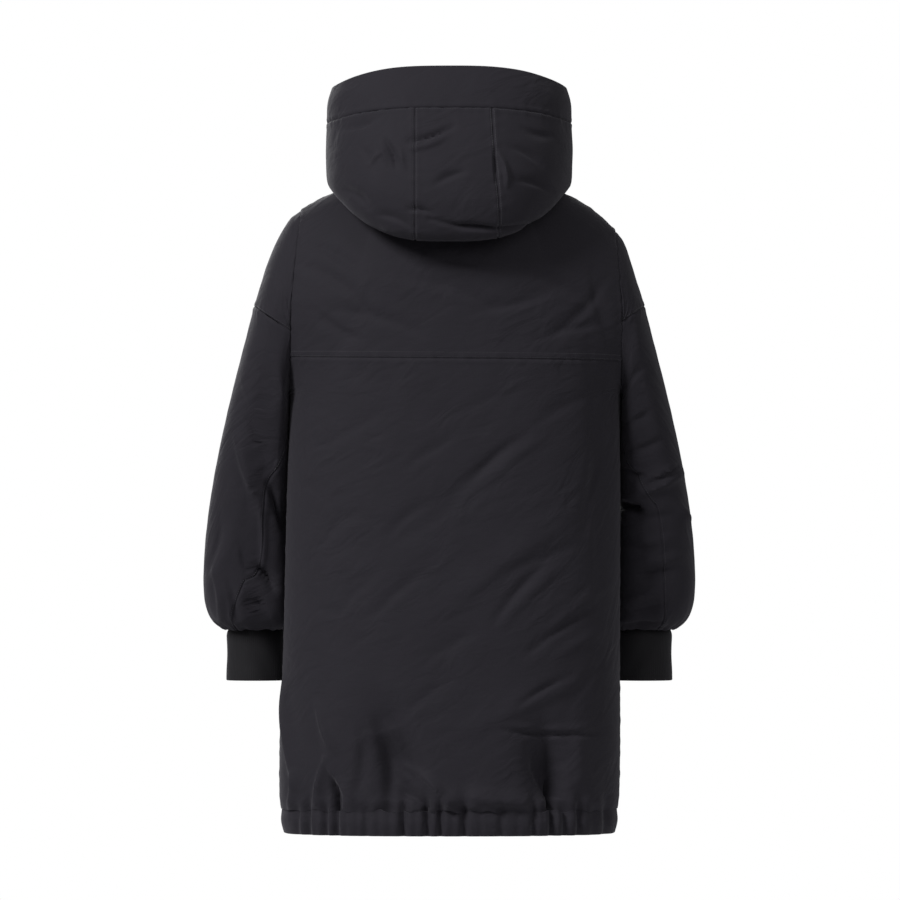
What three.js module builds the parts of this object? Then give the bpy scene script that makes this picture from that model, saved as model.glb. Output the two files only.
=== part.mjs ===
import * as THREE from "three";

// A hooded parka with an elastic hem and knit cuffs, filled out and hollow as on a wearer.
// Sizes are millimetres. +Z is up, the front faces -Y and the wearer's left side is +X.
// The origin is in the middle of the neck opening, at the height of the back neck seam.

// Cloth thicknesses, and the gap between two pieces at a seam.
const SHELL_CLOTH = 3;
const CASING_CLOTH = 4;
const CUFF_CLOTH = 3;
const BAND_CLOTH = 5;
const FLAP_CLOTH = 3;
const SEAM_GAP = 0.3;

// The most of a panel's width that a seam may take, where the panel runs out in a point.
const MOST_CUT = 0.2;

// Heights of the seams that go round the body.
const HEM_BOTTOM = -855;
const HEM_SEAM = -822;
const YOKE_SEAM = -210;
const UNDERARM = -262;

// The casing at the hem is pulled in behind the edge of the panels above it.
const CASING_STEP = 2;
const STORM_FLAP_WIDTH = 62;

// The body below the underarms: rings from the hem up, squarer than an ellipse.
// lean is the x of a ring's middle: the body hangs a little towards the wearer's right.
const BODY_SQUARENESS = 2.4;
const BODY_RINGS = [
  { z: -855, half: 224, lean: 0, back: 145, front: 145 },
  { z: -838, half: 227, lean: 0, back: 149, front: 149 },
  { z: -822, half: 227, lean: 0, back: 149, front: 149 },
  { z: -806, half: 229.5, lean: 0, back: 153, front: 152 },
  { z: -720, half: 230, lean: -1, back: 154, front: 152 },
  { z: -607, half: 227.5, lean: -3, back: 153, front: 151 },
  { z: -460, half: 226, lean: -5, back: 152, front: 150 },
  { z: -324, half: 224.4, lean: -6.7, back: 151, front: 149 },
  { z: -262, half: 223.5, lean: -7.7, back: 150, front: 148 },
];

// The armholes: shoulder point on top, underarm point below, and half the depth between them.
// The right shoulder point hangs lower and further out than the left one.
const ARMHOLE_DEPTH = 84;
const ARMHOLE_BOW = 4;
const SHOULDER_Y = 6;
const SHOULDER_POINTS = {
  left: { x: 201, z: -14 },
  right: { x: 225, z: -42 },
};

// The section across the chest and shoulder blades, halfway up the armholes.
const BLADE_SECTION = { lean: -10, z: -128, back: 149, front: 145, endAngle: 60 };

// The pieces that lie on others, moved out from their points by this.
const LAY_GAP = 0.6;

// The neck seam, and the line of the shoulders from it to the armholes.
const NECK_HALF = 88;
const NECK_SIDE_Z = 28;
const NECK_SHARE = 0.4375;
const SHOULDER_CROWN = 7;

// The sleeve as rings from the armhole to the cuff. outer is the outline away from the body,
// inner the line beside the body, clear of it by the clearance, y the middle of the ring, and
// bow how far its back and front bow away from the body.
const SLEEVE_SQUARENESS = 2.15;
const SLEEVE_RINGS = [
  { outerX: 238, outerZ: -67, innerZ: -266, clearance: 4, y: -5, depth: 84, bow: 9 },
  { outerX: 259, outerZ: -126, innerZ: -272, clearance: 5, y: -10, depth: 83, bow: 9 },
  { outerX: 279, outerZ: -200, innerZ: -287, clearance: 6, y: -20, depth: 81, bow: 6 },
  { outerX: 296, outerZ: -270, innerZ: -320, clearance: 7, y: -32, depth: 79, bow: 3 },
  { outerX: 311, outerZ: -338, innerZ: -364, clearance: 8, y: -46, depth: 78, bow: 1 },
  { outerX: 322, outerZ: -400, innerZ: -412, clearance: 9, y: -58, depth: 78, bow: 0 },
  { outerX: 329, outerZ: -455, innerZ: -462, clearance: 12, y: -69, depth: 78, bow: 0 },
  { outerX: 332.5, outerZ: -505, innerZ: -509, clearance: 15, y: -77, depth: 77, bow: 0 },
  { outerX: 331, outerZ: -538, innerZ: -541, clearance: 17, y: -81, depth: 75, bow: 0 },
  { outerX: 325, outerZ: -559, innerZ: -562, clearance: 17, y: -84, depth: 69, bow: 0 },
  { outerX: 315, outerZ: -573, innerZ: -576, clearance: 16, y: -85, depth: 58, bow: 0 },
];
const CUFF = { outerX: 301, width: 80, depth: 38, y: -86, topZ: -583, bottomZ: -649 };
const CUFF_EDGE = 3;

// The seam under the cap of the sleeve, as the plane that it lies in.
const CAP_SEAM = { x: 260, z: -146, slope: 0.67 };
const CAP_TIP_WIDTH = 1.5;

// The two long seams of the sleeve, as angles round its rings from the outer line to the back,
// at the height where the ring meets the outer line.
const SLEEVE_SEAMS = [
  { z: -14, left: 160, right: 160, front: -160 },
  { z: -240, left: 160, right: 160, front: -160 },
  { z: -316, left: 158, right: 154, front: -154 },
  { z: -360, left: 134, right: 117, front: -144 },
  { z: -408, left: 108, right: 99, front: -130 },
  { z: -463, left: 106, right: 90, front: -122 },
  { z: -500, left: 98, right: 84, front: -118 },
  { z: -540, left: 78, right: 76, front: -112 },
  { z: -583, left: 52, right: 66, front: -104 },
];

// The hood, down on the back and open upwards: rings from the neck seam out and down to its
// lowest fold, then up to the rim. side is half the width, mid the y of the widest place.
// leftSeam and rightSeam are how far from the middle the seams of the centre panel lie.
const HOOD_RINGS = [
  { ring: 0, side: 88, mid: 6, back: 72, front: -84, sideZ: 28, backZ: 10, frontZ: -20,
    square: 2, leftSeam: 32, rightSeam: 40 },
  { ring: 1, side: 116, mid: 8, back: 108, front: -87, sideZ: 23, backZ: -1, frontZ: -15,
    square: 2.1, leftSeam: 37, rightSeam: 48 },
  { ring: 2, side: 142, mid: 10, back: 146, front: -90, sideZ: 16, backZ: -36, frontZ: -9,
    square: 2.2, leftSeam: 42, rightSeam: 57 },
  { ring: 3, side: 157, mid: 12, back: 178, front: -93, sideZ: 11, backZ: -60, frontZ: -3,
    square: 2.3, leftSeam: 45, rightSeam: 64 },
  { ring: 4, side: 164.5, mid: 14, back: 205, front: -96, sideZ: 20, backZ: -50, frontZ: 3,
    square: 2.4, leftSeam: 46, rightSeam: 67 },
  { ring: 5, side: 166.5, mid: 15, back: 216, front: -99, sideZ: 45, backZ: -5, frontZ: 9,
    square: 2.5, leftSeam: 46, rightSeam: 66 },
  { ring: 6, side: 166.5, mid: 17, back: 206, front: -102, sideZ: 75, backZ: 55, frontZ: 15,
    square: 2.5, leftSeam: 46, rightSeam: 61 },
  { ring: 7, side: 165, mid: 18, back: 182, front: -106, sideZ: 102, backZ: 119, frontZ: 22,
    square: 2.5, leftSeam: 46, rightSeam: 57 },
  { ring: 8, side: 163.5, mid: 19, back: 167, front: -112, sideZ: 128, backZ: 151, frontZ: 50,
    square: 2.5, leftSeam: 46, rightSeam: 56 },
  { ring: 9, side: 158, mid: 20, back: 150, front: -118, sideZ: 151, backZ: 180, frontZ: 78,
    square: 2.5, leftSeam: 46, rightSeam: 55 },
];
const HOOD_BAND_RING = 7;
const HOOD_RIM_RING = 9;
const HOOD_DROOP = 3;

// How far the hood lies above the shoulders that it rests on, at the neck seam and further out,
// and how softly it bends to follow them.
const HOOD_LIFT = 1.5;
const HOOD_REST = 3;
const HOOD_SOFTNESS = 6;

// Gathers where the elastic pulls the hem in: how deep and wide each crease is at the hem,
// and how far up the panel it runs out.
const BACK_GATHERS = [
  { x: 192, depth: 4, width: 6, rise: 26 },
  { x: 168, depth: 4, width: 5, rise: 30 },
  { x: 153, depth: 6, width: 6, rise: 52 },
  { x: 112, depth: 2.5, width: 6, rise: 14 },
  { x: 62, depth: 4, width: 6, rise: 26 },
  { x: 30, depth: 4.5, width: 5, rise: 24 },
  { x: 12, depth: 4, width: 5, rise: 18 },
  { x: -20, depth: 4, width: 6, rise: 22 },
  { x: -70, depth: 2.5, width: 6, rise: 14 },
  { x: -114, depth: 3.5, width: 5, rise: 20 },
  { x: -139, depth: 7, width: 6, rise: 58 },
  { x: -157, depth: 4, width: 5, rise: 22 },
  { x: -176, depth: 4, width: 5, rise: 26 },
  { x: -212, depth: 3, width: 6, rise: 20 },
];
const FRONT_GATHERS = [
  { x: 205, depth: 4, width: 6, rise: 24 },
  { x: 176, depth: 5, width: 6, rise: 40 },
  { x: 148, depth: 4, width: 5, rise: 26 },
  { x: 104, depth: 6, width: 6, rise: 50 },
  { x: 72, depth: 4, width: 5, rise: 22 },
  { x: -58, depth: 4, width: 6, rise: 26 },
  { x: -92, depth: 5, width: 5, rise: 34 },
  { x: -128, depth: 4, width: 6, rise: 22 },
  { x: -160, depth: 6, width: 6, rise: 48 },
  { x: -188, depth: 4, width: 5, rise: 22 },
];

// Large folds: each runs from one place to another across the back or the front, seen flat.
// A positive depth is a ridge and a negative one a trough.
const BACK_FOLDS = [
  { x1: 172, z1: -700, x2: 140, z2: -800, depth: 5, width: 16 },
  { x1: 110, z1: -722, x2: 72, z2: -806, depth: -7, width: 26 },
  { x1: 66, z1: -770, x2: 10, z2: -812, depth: 4, width: 14 },
  { x1: -8, z1: -800, x2: -108, z2: -812, depth: 4, width: 11 },
  { x1: -132, z1: -728, x2: -146, z2: -800, depth: -6, width: 16 },
  { x1: -170, z1: -700, x2: -176, z2: -800, depth: 4, width: 16 },
  { x1: -20, z1: -716, x2: -190, z2: -640, depth: 3, width: 16 },
  { x1: 20, z1: -560, x2: -170, z2: -420, depth: 3, width: 18 },
  { x1: -190, z1: -190, x2: -206, z2: -560, depth: -3, width: 16 },
  { x1: 90, z1: -470, x2: -60, z2: -380, depth: -2.5, width: 20 },
];
const FRONT_FOLDS = [
  { x1: 160, z1: -690, x2: 120, z2: -806, depth: -6, width: 22 },
  { x1: 190, z1: -640, x2: 182, z2: -790, depth: 4, width: 18 },
  { x1: 60, z1: -740, x2: 84, z2: -808, depth: 4, width: 14 },
  { x1: -150, z1: -720, x2: -112, z2: -806, depth: -6, width: 22 },
  { x1: -70, z1: -760, x2: -60, z2: -810, depth: 4, width: 13 },
  { x1: 170, z1: -330, x2: 60, z2: -440, depth: 3, width: 20 },
  { x1: -175, z1: -330, x2: -70, z2: -460, depth: 3, width: 20 },
];
const LEFT_SLEEVE_FOLDS = [
  { x1: 283, z1: -331, x2: 253, z2: -432, depth: 5, width: 11 },
  { x1: 244, z1: -380, x2: 224, z2: -440, depth: -6, width: 10 },
  { x1: 262, z1: -496, x2: 236, z2: -524, depth: -8, width: 9 },
  { x1: 300, z1: -452, x2: 322, z2: -520, depth: 4, width: 14 },
  { x1: 270, z1: -534, x2: 250, z2: -560, depth: -5, width: 8 },
];
const RIGHT_SLEEVE_FOLDS = [
  { x1: 318, z1: -362, x2: 244, z2: -398, depth: 6, width: 10 },
  { x1: 236, z1: -414, x2: 262, z2: -420, depth: -10, width: 9 },
  { x1: 246, z1: -462, x2: 300, z2: -456, depth: 4, width: 11 },
  { x1: 250, z1: -505, x2: 306, z2: -500, depth: -4, width: 10 },
  { x1: 246, z1: -548, x2: 290, z2: -542, depth: -4, width: 9 },
];

// How many squares each wall has across and down, fine enough for its form.
const BODY_COLUMNS = 32;
const CASING_COLUMNS = 88;
const CASING_ROWS = 2;
const SLEEVE_ROWS = 14;
const CAP_ROWS = 4;
const UNDER_SLEEVE_COLUMNS = 6;
const CUFF_COLUMNS = 28;
const CUFF_ROWS = 2;
const HOOD_CENTRE_COLUMNS = 6;
const HOOD_SIDE_COLUMNS = 5;
const HOOD_FRONT_COLUMNS = 7;
const HOOD_ROWS = 13;
const BAND_ROWS = 2;

// Levels of the rows below the underarm, close together where the hem gathers the cloth.
const LOW_LEVELS = [0, 0.025, 0.06, 0.11, 0.18, 0.28, 0.4, 0.55, 0.7, 0.85, 1];

// Degrees between the places round an armhole where rows of the body and columns of the sleeve
// meet. The yoke seam and the ends of the sleeve cap take the places that come nearest.
const ARMHOLE_STEP = 20;
const YOKE_PLACE = 120;
const CAP_PLACE = 100;
const LAST_PLACE = 160;
const UNDERARM_ROWS = UNDER_SLEEVE_COLUMNS / 2;

const SHELL_COLOUR = "#2a2a2e";
const KNIT_COLOUR = "#222225";

const { clamp, degToRad, lerp } = THREE.MathUtils;
const easeInOut = (t) => t * t * (3 - 2 * t);
const add = (p, q, times = 1) => p.map((value, k) => value + times * q[k]);
const distance = (p, q) => Math.hypot(p[0] - q[0], p[1] - q[1], p[2] - q[2]);

function unit(p) {
  const length = Math.hypot(...p);
  return p.map((value) => value / length);
}

function cross(p, q) {
  return [
    p[1] * q[2] - p[2] * q[1],
    p[2] * q[0] - p[0] * q[2],
    p[0] * q[1] - p[1] * q[0],
  ];
}

// Reads a list of numbers at a share of its length.
function pick(list, share) {
  const place = share * (list.length - 1);
  const i = clamp(Math.floor(place), 0, list.length - 2);
  return lerp(list[i], list[i + 1], place - i);
}

// Reads one column of a table at a place between its rows, along a smooth curve through them.
function through(rows, place, column, at) {
  const last = rows.length - 1;
  const way = Math.sign(rows[last][place] - rows[0][place]);
  let i = 0;
  while (i < last - 1 && way * (at - rows[i + 1][place]) > 0) i++;
  const slope = (k) => {
    const before = rows[Math.max(k - 1, 0)];
    const after = rows[Math.min(k + 1, last)];
    return (after[column] - before[column]) / (after[place] - before[place]);
  };
  const span = rows[i + 1][place] - rows[i][place];
  const t = clamp((at - rows[i][place]) / span, 0, 1);
  const rise = rows[i + 1][column] - rows[i][column];
  return (
    rows[i][column] + rise * easeInOut(t) +
    slope(i) * span * t * (1 - t) ** 2 - slope(i + 1) * span * t * t * (1 - t)
  );
}

// Finds where a value that changes sign once between two ends is zero, by halving.
const HALVINGS = 24;
function whereZero(value, start, end) {
  const startIsPositive = value(start) > 0;
  let [low, high] = [start, end];
  for (let turn = 0; turn < HALVINGS; turn++) {
    const middle = (low + high) / 2;
    if (value(middle) > 0 === startIsPositive) low = middle;
    else high = middle;
  }
  return (low + high) / 2;
}

// The way out of a surface at a place on it.
function outward(surface, u, v, handed) {
  const step = 1e-4;
  const alongU = add(surface(u + step, v), surface(u - step, v), -1);
  const alongV = add(surface(u, v + step), surface(u, v - step), -1);
  return unit(cross(alongU, alongV)).map((value) => value * handed);
}

// The level part of a way out: walls that stack at a seam are cut level there.
const levelOut = (out) => unit([out[0], out[1], 0]);

// How far soft folds move a place on the cloth, from its distance to each fold's line.
function foldHeight(folds, x, z) {
  let height = 0;
  for (const { x1, z1, x2, z2, depth, width } of folds) {
    const [runX, runZ] = [x2 - x1, z2 - z1];
    const t = clamp(((x - x1) * runX + (z - z1) * runZ) / (runX ** 2 + runZ ** 2), 0, 1);
    const away = Math.hypot(x - x1 - t * runX, z - z1 - t * runZ);
    height += depth * Math.exp(-((away / width) ** 2));
  }
  return height;
}

// The same for the gathers, which are deepest at the hem and widen as they run out.
function gatherHeight(gathers, x, z) {
  const above = Math.max(0, z - HEM_SEAM);
  let height = 0;
  for (const gather of gathers) {
    const share = Math.exp(-((above / gather.rise) ** 2));
    const width = gather.width * (1 + above / 30);
    height -= gather.depth * share * Math.exp(-(((x - gather.x) / width) ** 2));
  }
  return height;
}

// Body surface. across runs from -1 on the right to 1 on the left, and level from 0 at the hem
// seam to 1 at the underarm, 2 halfway up the armhole and 3 at the shoulder and neck line.
const sideName = (sign) => (sign < 0 ? "right" : "left");

const asideShare = (across) => Math.sin((across * Math.PI) / 2);

function bodyRing(across, z, face) {
  const ring = (column) => through(BODY_RINGS, "z", column, z);
  const aside = asideShare(across);
  const depth = face > 0 ? ring("back") : ring("front");
  const deep = Math.max(1 - Math.abs(aside) ** BODY_SQUARENESS, 0) ** (1 / BODY_SQUARENESS);
  return [ring("lean") + ring("half") * aside, face * depth * deep, z];
}

function armholePoints(sign) {
  const shoulder = SHOULDER_POINTS[sideName(sign)];
  const top = [sign * shoulder.x, SHOULDER_Y, shoulder.z];
  const bottom = bodyRing(sign, UNDERARM, 1);
  const middleX = (top[0] + bottom[0]) / 2 + sign * ARMHOLE_BOW;
  const middleZ = (top[2] + bottom[2]) / 2;
  return {
    top,
    bottom,
    back: [middleX, ARMHOLE_DEPTH, middleZ],
    front: [middleX, -ARMHOLE_DEPTH, middleZ],
  };
}

const ARMHOLES = { left: armholePoints(1), right: armholePoints(-1) };

function bladeSection(across, face) {
  const armhole = ARMHOLES[sideName(across)];
  const edge = face > 0 ? armhole.back : armhole.front;
  const end = degToRad(BLADE_SECTION.endAngle);
  const aside = Math.abs(asideShare(across));
  const angle = Math.asin(aside * Math.sin(end));
  const share = (Math.cos(angle) - Math.cos(end)) / (1 - Math.cos(end));
  const middle = face > 0 ? BLADE_SECTION.back : -BLADE_SECTION.front;
  return [
    lerp(BLADE_SECTION.lean, edge[0], aside),
    lerp(edge[1], middle, share),
    lerp(edge[2], BLADE_SECTION.z, share),
  ];
}

function topLine(across, face) {
  const sign = across < 0 ? -1 : 1;
  const size = Math.abs(across);
  if (size <= NECK_SHARE) {
    const angle = (size / NECK_SHARE) * (Math.PI / 2);
    return freeHood(0, sign * (face > 0 ? angle : Math.PI - angle));
  }
  const neckAside = asideShare(NECK_SHARE);
  const share = (asideShare(size) - neckAside) / (1 - neckAside);
  const shoulder = SHOULDER_POINTS[sideName(sign)];
  const crown = 4 * SHOULDER_CROWN * share * (1 - share);
  return [
    sign * lerp(NECK_HALF, shoulder.x, share),
    SHOULDER_Y,
    lerp(NECK_SIDE_Z, shoulder.z, share) + crown,
  ];
}

function smoothBody(across, level, face) {
  if (level <= 1) return bodyRing(across, lerp(HEM_SEAM, UNDERARM, level), face);
  const blade = bladeSection(across, face);
  if (level <= 2) {
    const ring = bodyRing(across, UNDERARM, face);
    const turn = ((level - 1) * Math.PI) / 2;
    const edgeness = Math.abs(across) ** 4;
    const rise = lerp(level - 1, 1 - Math.cos(turn), edgeness);
    const swell = lerp(easeInOut(level - 1), Math.sin(turn), edgeness);
    return [
      lerp(ring[0], blade[0], rise),
      lerp(ring[1], blade[1], swell),
      lerp(ring[2], blade[2], rise),
    ];
  }
  const top = topLine(across, face);
  const turn = ((3 - level) * Math.PI) / 2;
  return [
    lerp(top[0], blade[0], 1 - Math.cos(turn)),
    lerp(top[1], blade[1], Math.sin(turn)),
    lerp(top[2], blade[2], 1 - Math.cos(turn)),
  ];
}

// The level at which the body passes a height.
const levelAt = (across, z, face) =>
  whereZero((level) => smoothBody(across, level, face)[2] - z, 0, 3);

function bodySurface(face) {
  const plain = (across, level) => smoothBody(across, level, face);
  const folds = face > 0 ? BACK_FOLDS : FRONT_FOLDS;
  const gathers = face > 0 ? BACK_GATHERS : FRONT_GATHERS;
  return (across, level) => {
    const point = plain(across, level);
    const nearSide = easeInOut(clamp((1 - Math.abs(across)) / 0.12, 0, 1));
    const height =
      nearSide * foldHeight(folds, point[0], point[2]) +
      nearSide * gatherHeight(gathers, point[0], point[2]);
    if (Math.abs(height) < 0.01) return point;
    const out = outward(plain, across, level, -face);
    return add(point, level <= 1 ? levelOut(out) : out, height);
  };
}

// Casing surface: the same body rings below the hem seam, pulled in a little.
function casingSurface(face) {
  const gathers = face > 0 ? BACK_GATHERS : FRONT_GATHERS;
  const plain = (across, drop) => bodyRing(across, lerp(HEM_SEAM, HEM_BOTTOM, drop), face);
  return (across, drop) => {
    const point = plain(across, drop);
    const nearSide = easeInOut(clamp((1 - Math.abs(across)) / 0.12, 0, 1));
    const height = nearSide * gatherHeight(gathers, point[0], HEM_SEAM) - CASING_STEP;
    return add(point, levelOut(outward(plain, across, drop, face)), height);
  };
}

// Sleeve surface. down is millimetres along the outer line from the armhole, and angle goes
// round a ring from the outer line, over the back at 90 degrees, to the inner line at 180.
function besideBody(sign, z, y) {
  const ring = (column) => through(BODY_RINGS, "z", column, z);
  const depth = y > 0 ? ring("back") : ring("front");
  const share = (1 - (Math.abs(y) / depth) ** BODY_SQUARENESS) ** (1 / BODY_SQUARENESS);
  return ring("half") * share + sign * ring("lean");
}

function sleeveRows(sign) {
  const armhole = ARMHOLES[sideName(sign)];
  const rings = SLEEVE_RINGS.map((row) => ({
    outer: [sign * row.outerX, row.y, row.outerZ],
    inner: [sign * (besideBody(sign, row.innerZ, row.y) + row.clearance), row.y, row.innerZ],
    depth: row.depth,
    bow: sign * row.bow,
  }));
  rings.push({
    outer: [sign * (CUFF.outerX + 1), CUFF.y, CUFF.topZ + SEAM_GAP],
    inner: [sign * (CUFF.outerX + 1 - CUFF.width), CUFF.y, CUFF.topZ + SEAM_GAP],
    depth: CUFF.depth + 1,
    bow: 0,
  });
  const rows = rings.map(({ outer, inner, depth, bow }) => {
    const [x, y, z] = outer.map((value, k) => (value + inner[k]) / 2);
    return { outer, inner, back: [x + bow, y + depth, z], front: [x + bow, y - depth, z] };
  });
  const { top, bottom, back, front } = armhole;
  rows.unshift({ outer: top, inner: bottom, back, front });
  let down = 0;
  return rows.map((row, i) => {
    if (i) down += distance(row.outer, rows[i - 1].outer);
    const flat = { down };
    for (const line of ["outer", "inner", "back", "front"]) {
      row[line].forEach((value, k) => { flat[line + k] = value; });
    }
    return flat;
  });
}

const SLEEVES = { left: sleeveRows(1), right: sleeveRows(-1) };

function sleeveRing(rows, down, angle) {
  const point = (line) => [0, 1, 2].map((k) => through(rows, "down", line + k, down));
  const near = Math.cos(angle) > 0 ? point("outer") : point("inner");
  const side = Math.sin(angle) > 0 ? point("back") : point("front");
  const exponent = 2 / lerp(2, SLEEVE_SQUARENESS, clamp(down / 200, 0, 1));
  const turned = 1 - Math.abs(Math.cos(angle)) ** exponent;
  const out = Math.abs(Math.sin(angle)) ** exponent;
  return [
    lerp(near[0], side[0], turned),
    lerp(near[1], side[1], out),
    lerp(near[2], side[2], turned),
  ];
}

function sleeveSurface(sign) {
  const rows = SLEEVES[sideName(sign)];
  const end = rows[rows.length - 1].down;
  const backFolds = sign > 0 ? LEFT_SLEEVE_FOLDS : RIGHT_SLEEVE_FOLDS;
  const frontFolds = sign > 0 ? RIGHT_SLEEVE_FOLDS : LEFT_SLEEVE_FOLDS;
  const plain = (down, angle) => sleeveRing(rows, down, angle);
  return (down, angle) => {
    const point = plain(down, angle);
    const side = Math.sin(angle);
    const share = easeInOut(clamp(Math.abs(side) / 0.5, 0, 1)) *
      easeInOut(clamp(down / 120, 0, 1)) * easeInOut(clamp((end - down) / 16, 0, 1));
    const folds = side > 0 ? backFolds : frontFolds;
    const height = share * foldHeight(folds, Math.abs(point[0]), point[2]);
    return Math.abs(height) < 0.01 ? point
      : add(point, outward(plain, down, angle, sign), height);
  };
}

function seamAngle(sign, down, column) {
  const rows = SLEEVES[sideName(sign)];
  const outerZ = through(rows, "down", "outer2", down);
  return degToRad(through(SLEEVE_SEAMS, "z", column, outerZ));
}

// Where the cap's seam crosses the sleeve at an angle, or 0 where it has run into the armhole.
function capSeam(sign, angle) {
  const rows = SLEEVES[sideName(sign)];
  const above = (down) => {
    const [x, , z] = sleeveRing(rows, down, angle);
    return z - CAP_SEAM.z - CAP_SEAM.slope * (Math.abs(x) - CAP_SEAM.x);
  };
  return above(0) <= 0 ? 0 : whereZero(above, 0, 260);
}

// The angle at which the cap's seam runs into the armhole, where the cap ends in a point.
const capEnd = (sign) =>
  whereZero((angle) => (capSeam(sign, angle) > 0 ? 1 : -1), 0, Math.PI);

function capLength(sign, angle) {
  return Math.abs(angle) > capEnd(sign) + 0.01 ? 0
    : Math.max(capSeam(sign, angle), CAP_TIP_WIDTH);
}

// The angle round the armhole at which the yoke seam meets it.
const yokePlace = (sign) => ((3 - levelAt(sign, YOKE_SEAM, 1)) * Math.PI) / 2;

function armholePlaces(sign) {
  const places = [];
  for (let angle = -LAST_PLACE; angle <= LAST_PLACE; angle += ARMHOLE_STEP) {
    if (angle === YOKE_PLACE) places.push(yokePlace(sign));
    else if (Math.abs(angle) === CAP_PLACE) places.push(Math.sign(angle) * capEnd(sign));
    else places.push(degToRad(angle));
  }
  return places;
}

const ARMHOLE_PLACES = { left: armholePlaces(1), right: armholePlaces(-1) };

// Levels of the body's rows above the underarm, from one armhole's places to the other's.
function highLevels(across, face) {
  const { left, right } = ARMHOLE_PLACES;
  const middle = (left.length - 1) / 2;
  const levels = [];
  for (let k = 1; k < UNDERARM_ROWS; k++) {
    levels.push(lerp(1, 3 - LAST_PLACE / 90, k / UNDERARM_ROWS));
  }
  for (let k = middle; k >= 0; k--) {
    const angle = lerp(right[middle + face * k], left[middle + face * k], (across + 1) / 2);
    levels.push(3 - Math.abs(angle) / (Math.PI / 2));
  }
  return levels;
}

// Hood surface. ring runs from 0 at the neck seam to 9 at the rim, and angle from 0 at the
// centre back, over the wearer's left side, to half a turn at the centre front.
function freeHood(ring, angle) {
  const row = (column) => through(HOOD_RINGS, "ring", column, ring);
  const exponent = 2 / row("square");
  const aside = Math.abs(Math.sin(angle)) ** exponent;
  const deep = Math.abs(Math.cos(angle)) ** exponent;
  const atBack = Math.cos(angle) > 0;
  return [
    Math.sign(Math.sin(angle)) * row("side") * aside,
    lerp(row("mid"), atBack ? row("back") : row("front"), deep),
    lerp(atBack ? row("backZ") : row("frontZ"), row("sideZ"), aside ** HOOD_DROOP),
  ];
}

// The height of the shoulders under a place, or far below where there are none.
function shoulderHeight(x, y) {
  const face = y > SHOULDER_Y ? 1 : -1;
  const turnAt = (across) => {
    const [, topY] = topLine(across, face);
    const [, bladeY] = bladeSection(across, face);
    return (y - topY) / (bladeY - topY);
  };
  const place = (across) => {
    const sine = clamp(turnAt(across), 0, 1);
    return smoothBody(across, 3 - Math.asin(sine) / (Math.PI / 2), face);
  };
  const across = whereZero((share) => place(share)[0] - x, -1, 1);
  return turnAt(across) > 1 ? -400 : place(across)[2];
}

// The hood where it really lies: no lower than just above the shoulders.
function hoodRing(ring, angle) {
  const [x, y, z] = freeHood(ring, angle);
  const start = clamp(ring, 0, 1);
  const rest = shoulderHeight(x, y) + HOOD_REST * start;
  const soft = HOOD_SOFTNESS * start;
  const height = ring > 6 ? z : (z + rest + Math.hypot(z - rest, soft)) / 2;
  return [x, y, height + HOOD_LIFT];
}

function hoodSeamAngle(ring, column) {
  const row = (name) => through(HOOD_RINGS, "ring", name, ring);
  return Math.asin((row(column) / row("side")) ** (row("square") / 2));
}

// Walls. A panel says where its corners of 0 and 1 across and down lie on a surface, and which
// edges are seams, so that they are cut back by half the seam gap.
function panelPlaces({ surface, at, grid, seams, closed }) {
  const [columns, rows] = grid;
  const point = (a, b) => surface(...at(a, b));
  const cut = (a, b, stepA, stepB) => {
    const step = 1e-3;
    const here = point(a, b);
    const nextA = stepB ? a + (a < 0.5 ? step : -step) : a;
    const nextB = stepA ? b + (b < 0.5 ? step : -step) : b;
    const along = unit(add(point(nextA, nextB), here, -1));
    const squareTo = (way) => {
      const into = add(point(a + stepA * way, b + stepB * way), here, -1);
      return Math.hypot(...cross(into, along));
    };
    return whereZero((way) => squareTo(way) - SEAM_GAP / 2, 0, MOST_CUT);
  };
  const places = [];
  for (let j = 0; j <= rows; j++) {
    for (let i = 0; i <= columns; i++) {
      let [a, b] = [i / columns, j / rows];
      if (!closed && i === 0 && seams.start) a += cut(0, b, 1, 0);
      if (!closed && i === columns && seams.end) a -= cut(1, b, -1, 0);
      if (j === 0 && seams.bottom) b += cut(a, 0, 0, 1);
      if (j === rows && seams.top) b -= cut(a, 1, 0, -1);
      places.push(at(a, b));
    }
  }
  return places;
}

function wall(panel) {
  const { surface, grid, thickness, handed, closed, raised = 0, inward } = panel;
  const [columns, rows] = grid;
  const stride = columns + 1;
  const points = [];
  const layers = [[], []];
  panelPlaces(panel).forEach(([u, v], index) => {
    const out = inward ? inward(u, v, index % stride, Math.floor(index / stride))
      : outward(surface, u, v, handed);
    const base = surface(u, v);
    layers[0].push(add(base, out, raised));
    layers[1].push(add(base, out, raised - thickness));
  });
  points.push(...layers[0], ...layers[1]);
  const count = layers[0].length;
  const faces = [];
  const square = (p, q, r, s) => {
    if (distance(points[p], points[r]) <= distance(points[q], points[s])) {
      faces.push([p, q, r], [p, r, s]);
    } else {
      faces.push([p, q, s], [q, r, s]);
    }
  };
  const node = (i, j) => (closed ? i % columns : i) + j * stride;
  for (let j = 0; j < rows; j++) {
    for (let i = 0; i < columns; i++) {
      const corners = [node(i, j), node(i + 1, j), node(i + 1, j + 1), node(i, j + 1)];
      square(...corners);
      square(...corners.map((corner) => corner + count).reverse());
    }
  }
  const rim = (p, q) => square(q, p, p + count, q + count);
  for (let i = 0; i < columns; i++) {
    rim(node(i, 0), node(i + 1, 0));
    rim(node(i + 1, rows), node(i, rows));
  }
  if (!closed) {
    for (let j = 0; j < rows; j++) {
      rim(node(columns, j), node(columns, j + 1));
      rim(node(0, j + 1), node(0, j));
    }
  }
  return closedMesh(panel.name, panel.colour ?? SHELL_COLOUR, points, faces);
}

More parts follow.
